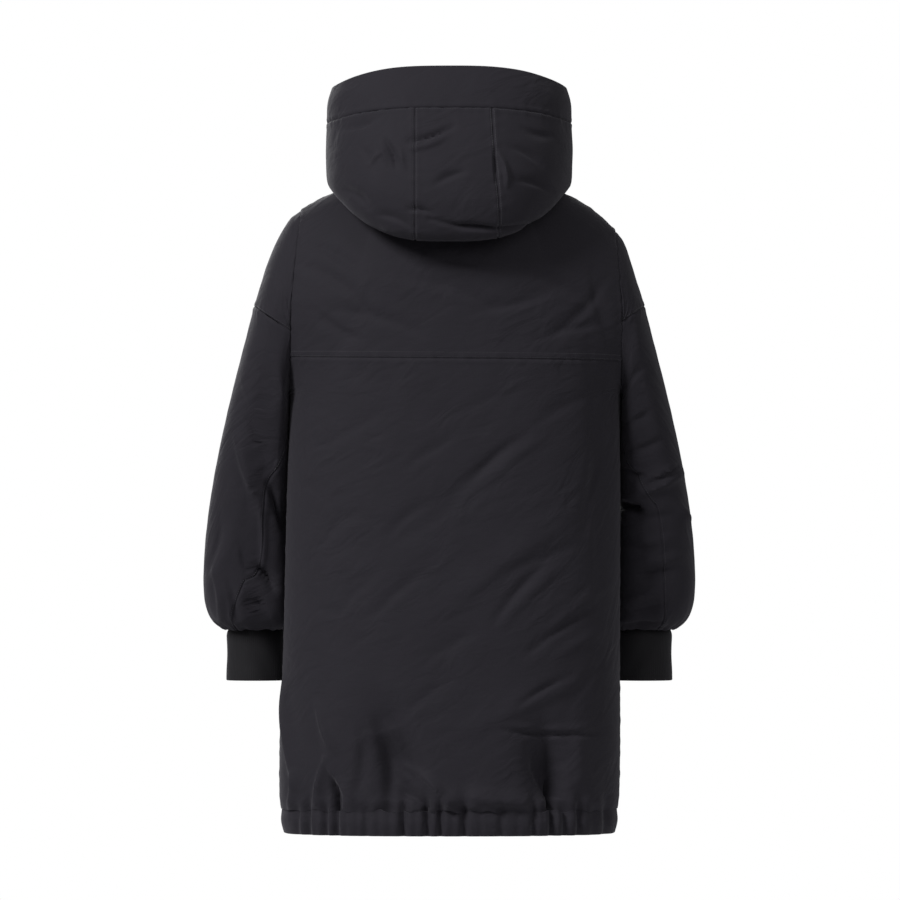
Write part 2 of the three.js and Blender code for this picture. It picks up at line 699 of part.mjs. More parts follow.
// A mesh with its faces turned to point out of the solid that they close.
function closedMesh(name, colour, points, faces) {
  let volume = 0;
  for (const [p, q, r] of faces) {
    const normal = cross(points[q], points[r]);
    volume += points[p][0] * normal[0] + points[p][1] * normal[1] + points[p][2] * normal[2];
  }
  const used = [...new Set(faces.flat())].sort((p, q) => p - q);
  const renumbered = new Map(used.map((old, index) => [old, index]));
  const indices = faces.flatMap(([p, q, r]) => (volume > 0 ? [p, q, r] : [p, r, q]));
  const geometry = new THREE.BufferGeometry();
  const positions = used.flatMap((index) => points[index]);
  geometry.setAttribute("position", new THREE.Float32BufferAttribute(positions, 3));
  geometry.setIndex(indices.map((index) => renumbered.get(index)));
  geometry.computeVertexNormals();
  const material = new THREE.MeshStandardMaterial({ color: colour, roughness: 0.8, metalness: 0 });
  const mesh = new THREE.Mesh(geometry, material);
  mesh.name = name;
  return mesh;
}

// Where a sleeve meets the body, both walls share the way that halves the angle between them,
// so that neither cuts into the other. The body's wall takes it from BESIDE_ARMHOLE outwards.
function armholeOut(sign, angle) {
  const face = Math.sin(angle) < 0 ? -1 : 1;
  const level = 3 - Math.abs(angle) / (Math.PI / 2);
  const inside = clamp(level, 1.02, 2.98);
  const body = outward(bodySurface(face), sign * 0.999, inside, -face);
  const sleeve = outward(sleeveSurface(sign), 1, angle, sign);
  return unit(add(body, sleeve));
}

const BESIDE_ARMHOLE = 0.95;

function bodyOut(face) {
  const surface = bodySurface(face);
  return (across, level) => {
    if (Math.abs(across) < BESIDE_ARMHOLE || level <= 1.001) {
      const inside = clamp(level, 0.001, 2.999);
      const out = outward(surface, clamp(across, -0.9995, 0.9995), inside, -face);
      return level < 0.01 ? levelOut(out) : out;
    }
    return armholeOut(Math.sign(across), (face * (3 - level) * Math.PI) / 2);
  };
}

// How far down the sleeve its wall still takes the way that it shares with the body.
const ARMHOLE_EDGE = 4;

function sleeveOut(sign) {
  const surface = sleeveSurface(sign);
  return (down, angle) => {
    const turned = Math.atan2(Math.sin(angle), Math.cos(angle));
    if (down < ARMHOLE_EDGE) return armholeOut(sign, turned);
    return outward(surface, down, angle, sign);
  };
}

function backPanels() {
  const surface = bodySurface(1);
  const yokeLevel = (across) => levelAt(across, YOKE_SEAM, 1);
  const across = (a) => lerp(-1, 1, a);
  const common = {
    surface, inward: bodyOut(1), thickness: SHELL_CLOTH,
    seams: { start: true, end: true, bottom: true, top: true },
  };
  const edgeLevel = { left: yokeLevel(1), right: yokeLevel(-1) };
  const yokeRow = (LAST_PLACE - YOKE_PLACE) / ARMHOLE_STEP + UNDERARM_ROWS - 1;
  const lower = wall({
    ...common, name: "back_lower",
    grid: [BODY_COLUMNS, LOW_LEVELS.length + yokeRow],
    at: (a, b) => {
      const seam = yokeLevel(across(a));
      const reach = (seam - 1) / (edgeLevel[sideName(across(a))] - 1);
      const rows = highLevels(across(a), 1).slice(0, yokeRow);
      const levels = rows.map((level) => 1 + (level - 1) * reach);
      return [across(a), pick([...LOW_LEVELS, ...levels, seam], b)];
    },
  });
  const yokeRows = highLevels(0, 1).length - yokeRow - 1;
  const yoke = wall({
    ...common, name: "back_yoke", grid: [BODY_COLUMNS, yokeRows],
    at: (a, b) => {
      const rows = highLevels(across(a), 1).slice(yokeRow + 1);
      return [across(a), pick([yokeLevel(across(a)), ...rows], b)];
    },
  });
  return [lower, yoke];
}

const frontLevels = (across) => [...LOW_LEVELS, ...highLevels(across, -1)];

function frontPanels() {
  return [1, -1].map((sign) => wall({
    name: `front_${sideName(sign)}`, surface: bodySurface(-1), inward: bodyOut(-1),
    grid: [BODY_COLUMNS / 2, frontLevels(0).length - 1],
    at: (a, b) => [sign * a, pick(frontLevels(sign * a), b)],
    seams: { start: true, end: true, bottom: true, top: true }, thickness: SHELL_CLOTH,
  }));
}

function casingOut(face) {
  const surface = casingSurface(face);
  return (across, drop) => levelOut(outward(surface, across, drop, face));
}

// The casings end just short of the side line, where the way out still has one answer.
const CASING_END = 0.9999;

function casings() {
  const seams = { start: true, end: true, bottom: true };
  const back = wall({
    name: "hem_casing_back", surface: casingSurface(1), inward: casingOut(1),
    grid: [CASING_COLUMNS, CASING_ROWS], at: (a, b) => [lerp(-CASING_END, CASING_END, a), b],
    seams, thickness: CASING_CLOTH,
  });
  const fronts = [1, -1].map((sign) => wall({
    name: `hem_casing_front_${sideName(sign)}`, surface: casingSurface(-1), inward: casingOut(-1),
    grid: [CASING_COLUMNS / 2, CASING_ROWS], at: (a, b) => [sign * a * CASING_END, b], seams,
    thickness: CASING_CLOTH,
  }));
  return [back, ...fronts];
}

// The storm flap lies over the closure, on the rows of the panels under it.
function stormFlaps() {
  const half = STORM_FLAP_WIDTH / 2;
  const edgeAt = (level) => whereZero((across) => {
    const [left] = smoothBody(across, level, -1);
    const [middle] = smoothBody(0, level, -1);
    return left - middle - half;
  }, 0, 0.5);
  const levels = frontLevels(0).slice(0, -1);
  const body = wall({
    name: "storm_flap", surface: bodySurface(-1), inward: bodyOut(-1),
    grid: [4, levels.length - 1],
    at: (a, b) => {
      const level = pick(levels, b);
      const edge = edgeAt(level);
      const column = 2 / BODY_COLUMNS;
      return [pick([-edge, -column, 0, column, edge], a), level];
    },
    seams: { bottom: true }, thickness: FLAP_CLOTH, raised: FLAP_CLOTH + LAY_GAP,
  });
  const hoodEdge = (ring) => {
    const row = (name) => through(HOOD_RINGS, "ring", name, ring);
    return Math.asin((half / row("side")) ** (row("square") / 2));
  };
  const hood = wall({
    name: "storm_flap_hood", surface: hoodRing, handed: 1,
    grid: [2, 9],
    at: (a, b) => {
      const ring = lerp(2, HOOD_RIM_RING, b);
      return [ring, Math.PI + lerp(-1, 1, a) * hoodEdge(ring)];
    },
    seams: {}, thickness: FLAP_CLOTH, raised: FLAP_CLOTH + LAY_GAP,
  });
  return [body, hood];
}

function sleevePanels(sign) {
  const side = sideName(sign);
  const surface = sleeveSurface(sign);
  const rows = SLEEVES[side];
  const end = rows[rows.length - 1].down;
  const common = {
    surface, inward: sleeveOut(sign), thickness: SHELL_CLOTH,
    seams: { start: true, end: true, bottom: true, top: true },
  };
  const places = ARMHOLE_PLACES[side];
  const capPlaces = places.filter((angle) => Math.abs(angle) < capEnd(sign) + 0.01);
  const cap = wall({
    ...common, name: `sleeve_cap_${side}`, grid: [capPlaces.length - 1, CAP_ROWS],
    at: (a, b) => {
      const angle = pick(capPlaces, a);
      return [capLength(sign, angle) * b, angle];
    },
    seams: { bottom: true, top: true },
  });
  const between = (from, to, starts) => (a, b) => {
    const first = pick(starts, a);
    const share = (first - from(0)) / (to(0) - from(0));
    const down = lerp(capLength(sign, first), end, b);
    return [down, lerp(from(down), to(down), share)];
  };
  const frontSeam = (down) => seamAngle(sign, down, "front");
  const backSeam = (down) => seamAngle(sign, down, side);
  const fullTurn = (down) => frontSeam(down) + 2 * Math.PI;
  const outer = wall({
    ...common, name: `sleeve_outer_${side}`, grid: [places.length - 1, SLEEVE_ROWS],
    at: between(frontSeam, backSeam, places),
  });
  const under = wall({
    ...common, name: `sleeve_under_${side}`, grid: [UNDER_SLEEVE_COLUMNS, SLEEVE_ROWS],
    at: between(backSeam, fullTurn, [backSeam(0), fullTurn(0)]),
  });
  return [cap, outer, under];
}

function cuff(sign) {
  const middle = sign * (CUFF.outerX - CUFF.width / 2);
  const surface = (drop, angle) => {
    const z = lerp(CUFF.topZ, CUFF.bottomZ, drop);
    const edge = Math.max(0, CUFF_EDGE - (z - CUFF.bottomZ));
    const rounding = CUFF_EDGE - Math.sqrt(CUFF_EDGE ** 2 - edge ** 2);
    return [
      middle + sign * (CUFF.width / 2 - rounding) * Math.cos(angle),
      CUFF.y + (CUFF.depth - rounding) * Math.sin(angle),
      z,
    ];
  };
  return wall({
    name: `cuff_${sideName(sign)}`, surface, handed: sign,
    grid: [CUFF_COLUMNS, CUFF_ROWS], closed: true,
    at: (a, b) => [b * 0.98, a * 2 * Math.PI], seams: { bottom: true },
    thickness: CUFF_CLOTH, colour: KNIT_COLOUR,
  });
}

function hoodPanels() {
  const common = { surface: hoodRing, handed: 1, thickness: SHELL_CLOTH };
  const left = (ring) => hoodSeamAngle(ring, "leftSeam");
  const right = (ring) => -hoodSeamAngle(ring, "rightSeam");
  const seams = { start: true, end: true, bottom: true, top: true };
  const centre = wall({
    ...common, name: "hood_centre", grid: [HOOD_CENTRE_COLUMNS, HOOD_ROWS], seams,
    at: (a, b) => {
      const ring = HOOD_BAND_RING * b;
      return [ring, lerp(right(ring), left(ring), a)];
    },
  });
  const quarter = Math.PI / 2;
  const sidePlaces = (seam) => {
    const places = [];
    for (let i = 0; i < HOOD_SIDE_COLUMNS; i++) {
      places.push(lerp(Math.abs(seam(0)), quarter, i / HOOD_SIDE_COLUMNS));
    }
    for (let i = 0; i <= HOOD_FRONT_COLUMNS; i++) {
      places.push(lerp(quarter, 2 * quarter, i / HOOD_FRONT_COLUMNS));
    }
    return places.map((place) => (place - places[0]) / (2 * quarter - places[0]));
  };
  const sides = [["left", left, 1], ["right", right, -1]].map(([side, seam, sign]) => wall({
    ...common, name: `hood_${side}`, grid: [sidePlaces(seam).length - 1, HOOD_ROWS], seams,
    at: (a, b) => {
      const ring = HOOD_BAND_RING * b;
      return [ring, lerp(seam(ring), sign * Math.PI, pick(sidePlaces(seam), a))];
    },
  }));
  const bandAngles = [];
  sidePlaces(right).reverse().forEach((share) => {
    bandAngles.push(lerp(right(HOOD_BAND_RING), -Math.PI, share));
  });
  for (let i = 1; i < HOOD_CENTRE_COLUMNS; i++) {
    bandAngles.push(lerp(right(HOOD_BAND_RING), left(HOOD_BAND_RING), i / HOOD_CENTRE_COLUMNS));
  }
  sidePlaces(left).forEach((share) => {
    bandAngles.push(lerp(left(HOOD_BAND_RING), Math.PI, share));
  });
  const band = wall({
    ...common, name: "hood_band", grid: [bandAngles.length - 1, BAND_ROWS],
    thickness: BAND_CLOTH,
    at: (a, b) => [lerp(HOOD_BAND_RING, HOOD_RIM_RING, b), pick(bandAngles, a)],
    seams: { start: true, end: true, bottom: true },
  });
  return [centre, ...sides, band];
}

const parka = new THREE.Group();
parka.add(
  ...backPanels(), ...frontPanels(), ...casings(), ...stormFlaps(),
  ...sleevePanels(1), ...sleevePanels(-1), cuff(1), cuff(-1), ...hoodPanels(),
);

export default parka;
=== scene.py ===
"""A hooded parka, filled out and hollow, dressed as creased black cloth on its fixed frame.

Sizes are millimetres until a mesh is made, and the mesh is in metres. +Z is up, the front
faces -Y and the wearer's left side is +X. Every panel is a thin shell on its solid's form.
"""

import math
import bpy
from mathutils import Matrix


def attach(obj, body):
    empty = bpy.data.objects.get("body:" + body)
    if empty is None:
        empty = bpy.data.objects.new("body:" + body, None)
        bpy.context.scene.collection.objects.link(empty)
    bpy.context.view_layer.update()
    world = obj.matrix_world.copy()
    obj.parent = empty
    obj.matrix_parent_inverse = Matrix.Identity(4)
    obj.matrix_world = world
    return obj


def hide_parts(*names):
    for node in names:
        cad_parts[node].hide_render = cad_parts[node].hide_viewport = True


bl_info = {
    "name": "Hooded parka",
    "version": (1, 0, 0),
    "blender": (4, 5, 0),
    "location": "3D View > Sidebar > Parka",
    "description": "Cuts, creases and lights a hollow hooded parka on its fixed frame",
    "category": "Object",
}

import bpy
import numpy as np
from bpy.props import FloatProperty, FloatVectorProperty, PointerProperty
from mathutils import Vector

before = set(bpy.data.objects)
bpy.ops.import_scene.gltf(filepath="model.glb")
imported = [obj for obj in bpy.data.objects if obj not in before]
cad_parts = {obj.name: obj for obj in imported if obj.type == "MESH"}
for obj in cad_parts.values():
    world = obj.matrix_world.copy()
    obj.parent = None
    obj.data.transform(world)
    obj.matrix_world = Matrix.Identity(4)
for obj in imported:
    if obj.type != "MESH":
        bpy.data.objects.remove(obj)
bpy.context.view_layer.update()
MM = 0.001


def table(columns, *rows):
    """A short table, as one array of numbers for each named column."""
    return {name: np.array([row[k] for row in rows], float) for k, name in enumerate(columns.split())}


# Heights of the seams that go round the body, and the thicknesses of the doubled edges.
HEM_BOTTOM = -855
HEM_SEAM = -822
YOKE_SEAM = -212
YOKE_DROP = 6
UNDERARM = -262
CASING_STEP = 0.4
CASING_SWELL = 1.1
CASING_RUFFLE = 0.22
CASING_WAVES = ((1, 14, 3.1), (0.7, 9, 6.7))
CASING_CLOTH = 3.6
BAND_CLOTH = 5
CUFF_CLOTH = 3
FLAP_CLOTH = 2.4
FLAP_RISE = 3.2
STORM_FLAP_WIDTH = 62

# The body below the underarms, as rings from the hem up.
BODY_SQUARENESS = 2.4
BODY_RINGS = table(
    "z half lean back front",
    (-855, 224, 0, 145, 145),
    (-838, 227, 0, 149, 149),
    (-822, 227, 0, 149, 149),
    (-806, 229.5, 0, 153, 152),
    (-720, 230, -1, 154, 152),
    (-607, 227.5, -3, 153, 151),
    (-460, 226, -5, 152, 150),
    (-324, 224.4, -6.7, 151, 149),
    (-262, 223.5, -7.7, 150, 148),
)

# The armholes, the section across the shoulder blades, and the line of neck and shoulders.
ARMHOLE_DEPTH = 84
ARMHOLE_BOW = 4
SHOULDER_Y = 6
SHOULDER_POINTS = {1: (201, -14), -1: (225, -42)}
BLADE_LEAN = -10
BLADE_Z = -128
BLADE_BACK = 149
BLADE_FRONT = 145
BLADE_END = math.radians(60)
NECK_HALF = 88
NECK_SIDE_Z = 28
NECK_SHARE = 0.4375
SHOULDER_CROWNS = {1: 10, -1: 22}
CROWN_LEAN = 1.5

# The sleeve, as rings from the armhole to the cuff.
SLEEVE_SQUARENESS = 2.45
INNER_SQUARENESS = {1: 5.5, -1: 3.2}
SQUARE_REACH = 200
CAP_SWELL = {1: 5, -1: 2.5}
SLEEVE_RINGS = table(
    "outer_x outer_z inner_z clearance y depth bow",
    (238, -67, -266, 0.9, -5, 84, 9),
    (259, -126, -272, 1.5, -10, 83, 9),
    (279, -200, -287, 2, -20, 81, 6),
    (297, -270, -320, 2.5, -32, 79, 3),
    (312.5, -338, -364, 5, -46, 78, 1),
    (324, -400, -412, 9, -58, 78, 0),
    (331, -455, -462, 12, -69, 78, 0),
    (334.5, -505, -509, 15, -77, 77, 0),
    (333.5, -538, -541, 17, -81, 75, 0),
    (328.5, -559, -562, 17, -84, 69, 0),
    (320, -573, -576, 16, -85, 58, 0),
)

# Where the sleeve lies along the body, both bend by this much in one wave, about this y.
LAP_DEPTH = 1.9
LAP_LENGTH = 50
LAP_SHIFT = 4.5
LAP_REACH = 42
LAP_TOP = -260
LAP_TOP_Y = -5
LAP_TOP_FADE = 8
LAP_BOTTOM = -385
LAP_BOTTOM_Y = -52
LAP_BOTTOM_FADE = 30

CUFF_OUTER_X = 304
CUFF_WIDTH = 82
CUFF_DEPTH = 38
CUFF_Y = -86
CUFF_TOP = -583
CUFF_BOTTOM = -651
CUFF_HIDDEN = 6
CUFF_TUCK = 4.5
CUFF_TUCK_REACH = 0.1
CUFF_SLACK = 1.4
CUFF_CREASE = 1.2
CUFF_CREASE_PLACE = 1.1
CUFF_CREASE_SLANT = 1.1
CUFF_CREASE_REACH = 0.3
CUFF_SINK = 0.2

# The seam of the cap: a sloping line over the sleeve, no further down it than this.
CAP_SEAM_X = 260
CAP_SEAM_Z = -146
CAP_SEAM_SLOPE = 0.67
CAP_LONGEST = 260

# Where the two seams down a sleeve lie at each height, in degrees round it.
SLEEVE_SEAMS = table(
    "z left right front",
    (-14, 160, 160, -160),
    (-240, 160, 156, -160),
    (-316, 132, 140, -154),
    (-360, 100, 107, -144),
    (-408, 95, 89, -130),
    (-463, 94.5, 84, -122),
    (-505, 91, 83, -118),
    (-540, 81, 81, -112),
    (-583, 60, 71, -104),
)

# The hood, down on the back: rings from the neck seam out to its lowest fold, then up to the rim.
HOOD_RINGS = table(
    "ring side mid back front side_z back_z front_z square left_seam right_seam",
    (0, 88, 6, 72, -84, 28, 10, -20, 2, 32, 40),
    (1, 116, 8, 108, -87, 23, -1, -15, 2.1, 37, 48),
    (2, 142, 10, 146, -90, 16, -36, -9, 2.2, 42, 57),
    (3, 157, 12, 178, -93, 11, -60, -3, 2.3, 45, 64),
    (4, 164.5, 14, 205, -96, 20, -50, 3, 2.4, 46, 67),
    (5, 166.5, 15, 216, -99, 45, -5, 9, 2.5, 46, 66),
    (6, 166.5, 17, 206, -102, 75, 55, 15, 2.5, 46, 61),
    (7, 165, 18, 182, -106, 102, 119, 22, 2.5, 46, 57),
    (8, 163.5, 19, 167, -112, 128, 150, 50, 2.5, 46, 56),
    (9, 158, 20, 150, -118, 151, 176.5, 78, 2.5, 46, 55),
)
HOOD_LYING_RING = 6
HOOD_BAND_RING = 7
HOOD_RIM_RING = 9
HOOD_DROOP = 3
HOOD_LIFT = 1.5
HOOD_REST = 3
HOOD_SOFTNESS = 6
HOOD_OUTSIDE_RING = 2.4
HOOD_OUTSIDE_FADE = 1.2
HOOD_BEHIND_FADE = 0.3
HOOD_DEGREE = 2.4
FAR_BELOW = -400

# Gathers where the elastic pulls the hem in: each crease at the hem, and how far up it runs.
BACK_GATHERS = table(
    "x depth width rise",
    (205, 3.6, 4, 16),
    (192, 7.5, 5, 29),
    (180, 1.3, 4, 12),
    (168, 7.5, 4.5, 33),
    (153, 9.0, 5, 64),
    (139, 1.3, 4, 12),
    (124, 1.4, 4, 16),
    (112, 4.1, 5, 14),
    (95, 1.3, 4, 12),
    (80, 1.4, 4, 15),
    (62, 9.4, 5, 31),
    (46, 1.3, 4, 14),
    (30, 9.4, 4.5, 29),
    (12, 8.4, 4, 22),
    (-4, 1.4, 4, 12),
    (-20, 8.4, 5, 26),
    (-42, 1.2, 4, 10),
    (-70, 4.1, 5, 14),
    (-92, 1.3, 4, 12),
    (-114, 7.5, 4.5, 22),
    (-127, 1.4, 4, 14),
    (-139, 12.2, 5, 66),
    (-150, 1.4, 3.5, 12),
    (-157, 8.4, 4.5, 24),
    (-176, 7.5, 4.5, 29),
    (-194, 1.4, 4, 14),
    (-212, 4.9, 5, 20),
)
FRONT_GATHERS = table(
    "x depth width rise",
    (205, 5.4, 5, 24),
    (190, 2.7, 4, 14),
    (176, 6.8, 5, 40),
    (162, 2.7, 4, 12),
    (148, 5.4, 4.5, 26),
    (126, 2.7, 4, 14),
    (104, 6, 5, 50),
    (88, 2.7, 4, 12),
    (72, 5.4, 4.5, 22),
    (52, 2.7, 4, 14),
    (-40, 2.7, 4, 14),
    (-58, 5.4, 5, 26),
    (-75, 2.7, 4, 12),
    (-92, 6.8, 4.5, 34),
    (-110, 2.7, 4, 14),
    (-128, 5.4, 5, 22),
    (-144, 2.7, 4, 12),
    (-160, 6, 5, 48),
    (-174, 2.7, 4, 12),
    (-188, 5.4, 4.5, 22),
    (-204, 2.7, 4, 14),
)

# Folds: each runs from one place to another, seen flat, bent aside by its bend. A positive
# depth is a ridge and a negative one a trough. Tables named folds hold the broad ones.
FOLD_COLUMNS = "x1 z1 x2 z2 bend depth width"
BACK_FOLDS = table(
    FOLD_COLUMNS,
    (172, -700, 140, -800, 0, 7.5, 16),
    (42, -818, 78, -712, 0, -30, 35),
    (66, -770, 10, -812, 0, 8, 14),
    (-8, -800, -108, -812, 0, 8, 11),
    (-148, -810, -128, -722, 0, -31, 25),
    (-170, -700, -176, -800, 0, 6, 16),
    (-20, -716, -190, -640, 0, 3, 16),
    (20, -560, -170, -420, 0, 3, 18),
    (-190, -190, -206, -560, 0, -3, 16),
    (90, -470, -60, -380, 0, -2.5, 20),
)
BACK_CREASES = table(
    FOLD_COLUMNS,
    (98, -706, 84, -826, 6, -11, 12),
    (120, -716, 126, -800, 4, -4.5, 9),
    (177, -680, 154, -742, -3, 5.3, 5),
    (168, -752, 182, -812, -2, 6.1, 5),
    (166, -752, 132, -804, -5, 5.1, 5),
    (158, -778, 150, -830, 0, -10, 6),
    (226, -650, 208, -790, -3, 7.9, 6),
    (208, -770, 214, -822, 0, 6.1, 5),
    (86, -704, 58, -778, 4, 3.1, 6),
    (60, -762, -8, -834, 10, 7.4, 6),
    (68, -796, 26, -828, 3, -5.4, 5),
    (-4, -806, -136, -832, -8, 7, 6),
    (-14, -818, -100, -822, -3, -4.6, 5),
    (-112, -738, -146, -806, -8, -7.1, 9),
    (-145, -780, -139, -838, 0, -13, 5.5),
    (-156, -770, -156, -828, 2, 4.6, 6),
    (-74, -713, -196, -719, -4, -4.9, 4),
    (-70, -706, -186, -711, -4, 2.4, 5),
    (-34, -374, -104, -318, 4, -3.5, 6),
    (-50, -384, -128, -322, 4, 2.6, 6),
    (-4, -402, -74, -344, 3, -3.1, 9),
    (58, -362, 0, -328, 3, -2.2, 7),
    (84, -452, 26, -408, 3, -2.6, 7),
    (102, -564, 34, -502, 4, -2.6, 8),
    (-62, -566, -140, -482, 5, -4.1, 6),
    (-74, -572, -150, -496, 5, 2.4, 7),
    (-72, -506, -180, -466, 3, -2.6, 8),
    (-104, -613, -190, -555, 4, -4.1, 6),
    (-130, -588, -216, -520, 4, 2.8, 8),
    (-94, -680, -164, -641, 3, -4.5, 5),
    (-140, -618, -208, -582, 2, 2.6, 7),
    (32, -622, -38, -582, 3, -2.2, 9),
    (56, -690, -10, -640, 3, -2, 9),
    (150, -560, 92, -500, 4, -1.9, 9),
    (180, -470, 120, -420, 3, -1.9, 9),
    (-182, -446, -206, -346, 3, -3.1, 8),
    (-164, -676, -214, -620, 3, -2.8, 10),
    (20, -300, -90, -262, 3, -1.9, 8),
    (160, -330, 90, -290, 3, -1.9, 8),
    (-120, -300, -196, -262, 2, -2.2, 7),
)
YOKE_CREASES = table(
    FOLD_COLUMNS,
    (196, -90, 112, -150, 8, -4.2, 9),
    (186, -62, 120, -104, 6, -3.8, 8),
    (150, -150, 40, -182, 5, -3, 9),
    (60, -108, -60, -150, 8, -3.4, 10),
    (20, -86, -80, -104, 5, -4.2, 8),
    (-40, -150, -150, -118, -6, -3.4, 9),
    (-90, -96, -190, -140, 6, -3.9, 9),
    (-150, -176, -208, -112, -6, -3.9, 8),
    (-120, -190, -200, -170, 3, -2.7, 7),
    (120, -188, 180, -150, 4, -2.7, 8),
    (-190, -80, -216, -196, -4, -3, 9),
)
FRONT_FOLDS = table(
    FOLD_COLUMNS,
    (160, -690, 120, -806, 0, -6, 22),
    (190, -640, 182, -790, 0, 4, 18),
    (60, -740, 84, -808, 0, 4, 14),
    (-150, -720, -112, -806, 0, -6, 22),
    (-70, -760, -60, -810, 0, 4, 13),
    (170, -330, 60, -440, 0, 3, 20),
    (-175, -330, -70, -460, 0, 3, 20),
)
FRONT_CREASES = table(
    FOLD_COLUMNS,
    (170, -680, 128, -826, 6, -5.1, 9),
    (140, -730, 112, -812, 4, 3.6, 6),
    (196, -690, 190, -812, 3, 3.3, 6),
    (80, -756, 96, -826, -3, 3.6, 6),
    (-160, -712, -116, -826, -6, -5.1, 9),
    (-132, -744, -98, -816, -4, 3.6, 6),
    (-192, -700, -186, -812, -3, 3.3, 6),
    (-64, -772, -56, -828, 2, 3.3, 6),
    (176, -320, 76, -420, 6, -2.4, 8),
    (190, -360, 96, -470, 6, 1.8, 9),
    (160, -480, 60, -560, 5, -2, 9),
    (186, -560, 84, -640, 5, -2, 9),
    (120, -600, 48, -690, 4, -1.7, 9),
    (-180, -320, -80, -440, -6, -2.4, 8),
    (-190, -400, -96, -500, -6, 1.8, 9),
    (-170, -500, -64, -590, -5, -2, 9),
    (-184, -590, -90, -660, -5, -2, 9),
    (150, -130, 60, -190, 5, -1.8, 9),
    (-160, -140, -66, -200, -5, -1.8, 9),
    (170, -210, 90, -260, 4, -1.8, 8),
    (-176, -220, -90, -270, -4, -1.8, 8),
)
LEFT_SLEEVE_FOLDS = table(
    FOLD_COLUMNS,
    (283, -331, 253, -432, 0, 5, 11),
    (244, -380, 224, -440, 0, -6, 10),
    (262, -496, 236, -524, 0, -8, 9),
    (300, -452, 322, -520, 0, 4, 14),
    (270, -534, 250, -560, 0, -5, 8),
)
RIGHT_SLEEVE_FOLDS = table(
    FOLD_COLUMNS,
    (318, -362, 244, -398, 0, 6, 10),
    (236, -414, 262, -420, 0, -10, 9),
    (246, -462, 300, -456, 0, 4, 11),
    (250, -505, 306, -500, 0, -4, 10),
    (246, -548, 290, -542, 0, -4, 9),
)
LEFT_SLEEVE_CREASES = table(
    FOLD_COLUMNS,
    (286, -322, 256, -420, -3, 6.6, 8),
    (256, -420, 254, -492, 2, 4.1, 5),
    (248, -384, 225, -442, 3, -6.1, 5),
    (262, -496, 238, -524, 2, -8.2, 4),
    (268, -526, 248, -560, -3, -6.1, 4),
    (258, -540, 240, -566, -3, 4.1, 4),
    (282, -470, 262, -520, -4, -3.2, 6),
    (310, -420, 326, -500, 4, -3.2, 7),
    (318, -500, 312, -566, 3, 3.6, 6),
    (300, -520, 290, -572, 3, -4.1, 5),
    (270, -300, 236, -352, -4, -3.2, 6),
    (262, -216, 232, -262, -4, -2.8, 7),
    (280, -236, 250, -300, -4, 2.5, 8),
)
RIGHT_SLEEVE_CREASES = table(
    FOLD_COLUMNS,
    (266, -382, 314, -358, 2, -7.1, 4),
    (240, -402, 316, -370, 3, 5.7, 5),
    (230, -410, 258, -419, 0, -16.5, 5),
    (232, -428, 300, -424, 2, -4.6, 7),
    (312, -412, 326, -436, 0, 7.1, 7),
    (236, -462, 280, -468, 3, -5.2, 6),
    (240, -486, 312, -480, 3, 4.2, 7),
    (240, -506, 300, -498, 3, -4.6, 6),
    (245, -536, 282, -524, 2, 4.6, 5),
    (236, -556, 292, -548, 3, -6.1, 5),
    (234, -575, 284, -573, 1, -7.1, 4),
    (236, -340, 286, -322, 3, -4.2, 6),
    (240, -364, 262, -372, 2, -7.1, 5),
    (238, -302, 268, -286, 2, -3.6, 6),
    (262, -226, 236, -262, 3, -3.2, 7),
)
HOOD_CREASES = table(
    FOLD_COLUMNS,
    (85, 75, 72, 40, 2, -5.3, 3.5),
    (93, 70, 84, 44, 1, 3.5, 3.5),
    (106, 43, 88, 60, 2, 3.1, 3.5),
    (66, 64, 61, 38, 0, 2.8, 3),
    (118, 66, 100, 34, 3, -2.4, 6),
    (52, 74, -6, 94, -3, -6.1, 4),
    (50, 64, 4, 80, -3, 4.2, 5),
    (16, 18, -18, 32, 2, -5.1, 5),
    (54, -18, 22, -23, 2, -4.6, 4),
    (-66, 56, -76, 14, 3, 6.1, 4),
    (-60, 60, -62, 20, 0, -3.9, 3.5),
    (-84, 66, -122, 44, 3, -3.9, 6),
    (-90, 22, -136, 8, 3, -4.6, 6),
    (140, 92, 96, 106, -3, -3.6, 6),
    (146, 12, 108, -14, 4, -5.1, 7),
    (96, -24, 50, -42, 4, -3.9, 6),
    (26, -30, -120, -34, -12, -6.6, 4),
    (-10, -42, -60, -46, 3, -4.6, 5),
    (-140, 84, -100, 92, 3, -3.4, 6),
)

# Gathers of the sleeve into its cuff, by the angle round the sleeve in degrees.
WRIST_GATHERS = table(
    "angle depth width rise",
    (8, 1.1, 4, 18),
    (24, 2.0, 4.5, 30),
    (41, 1.2, 4, 20),
    (60, 1.3, 4, 26),
    (78, 1.1, 4.5, 22),
    (96, 1.9, 4, 34),
    (113, 1.1, 4, 20),
    (131, 1.7, 5, 28),
    (152, 1.7, 4, 20),
    (171, 1.6, 4.5, 24),
    (-12, 1.3, 4.5, 24),
    (-31, 1.4, 4, 18),
    (-52, 1.5, 4.5, 30),
    (-74, 1.3, 4, 20),
    (-95, 1.3, 4.5, 28),
    (-118, 1.7, 4, 22),
    (-142, 1.4, 5, 30),
    (-163, 1.6, 4, 20),
)

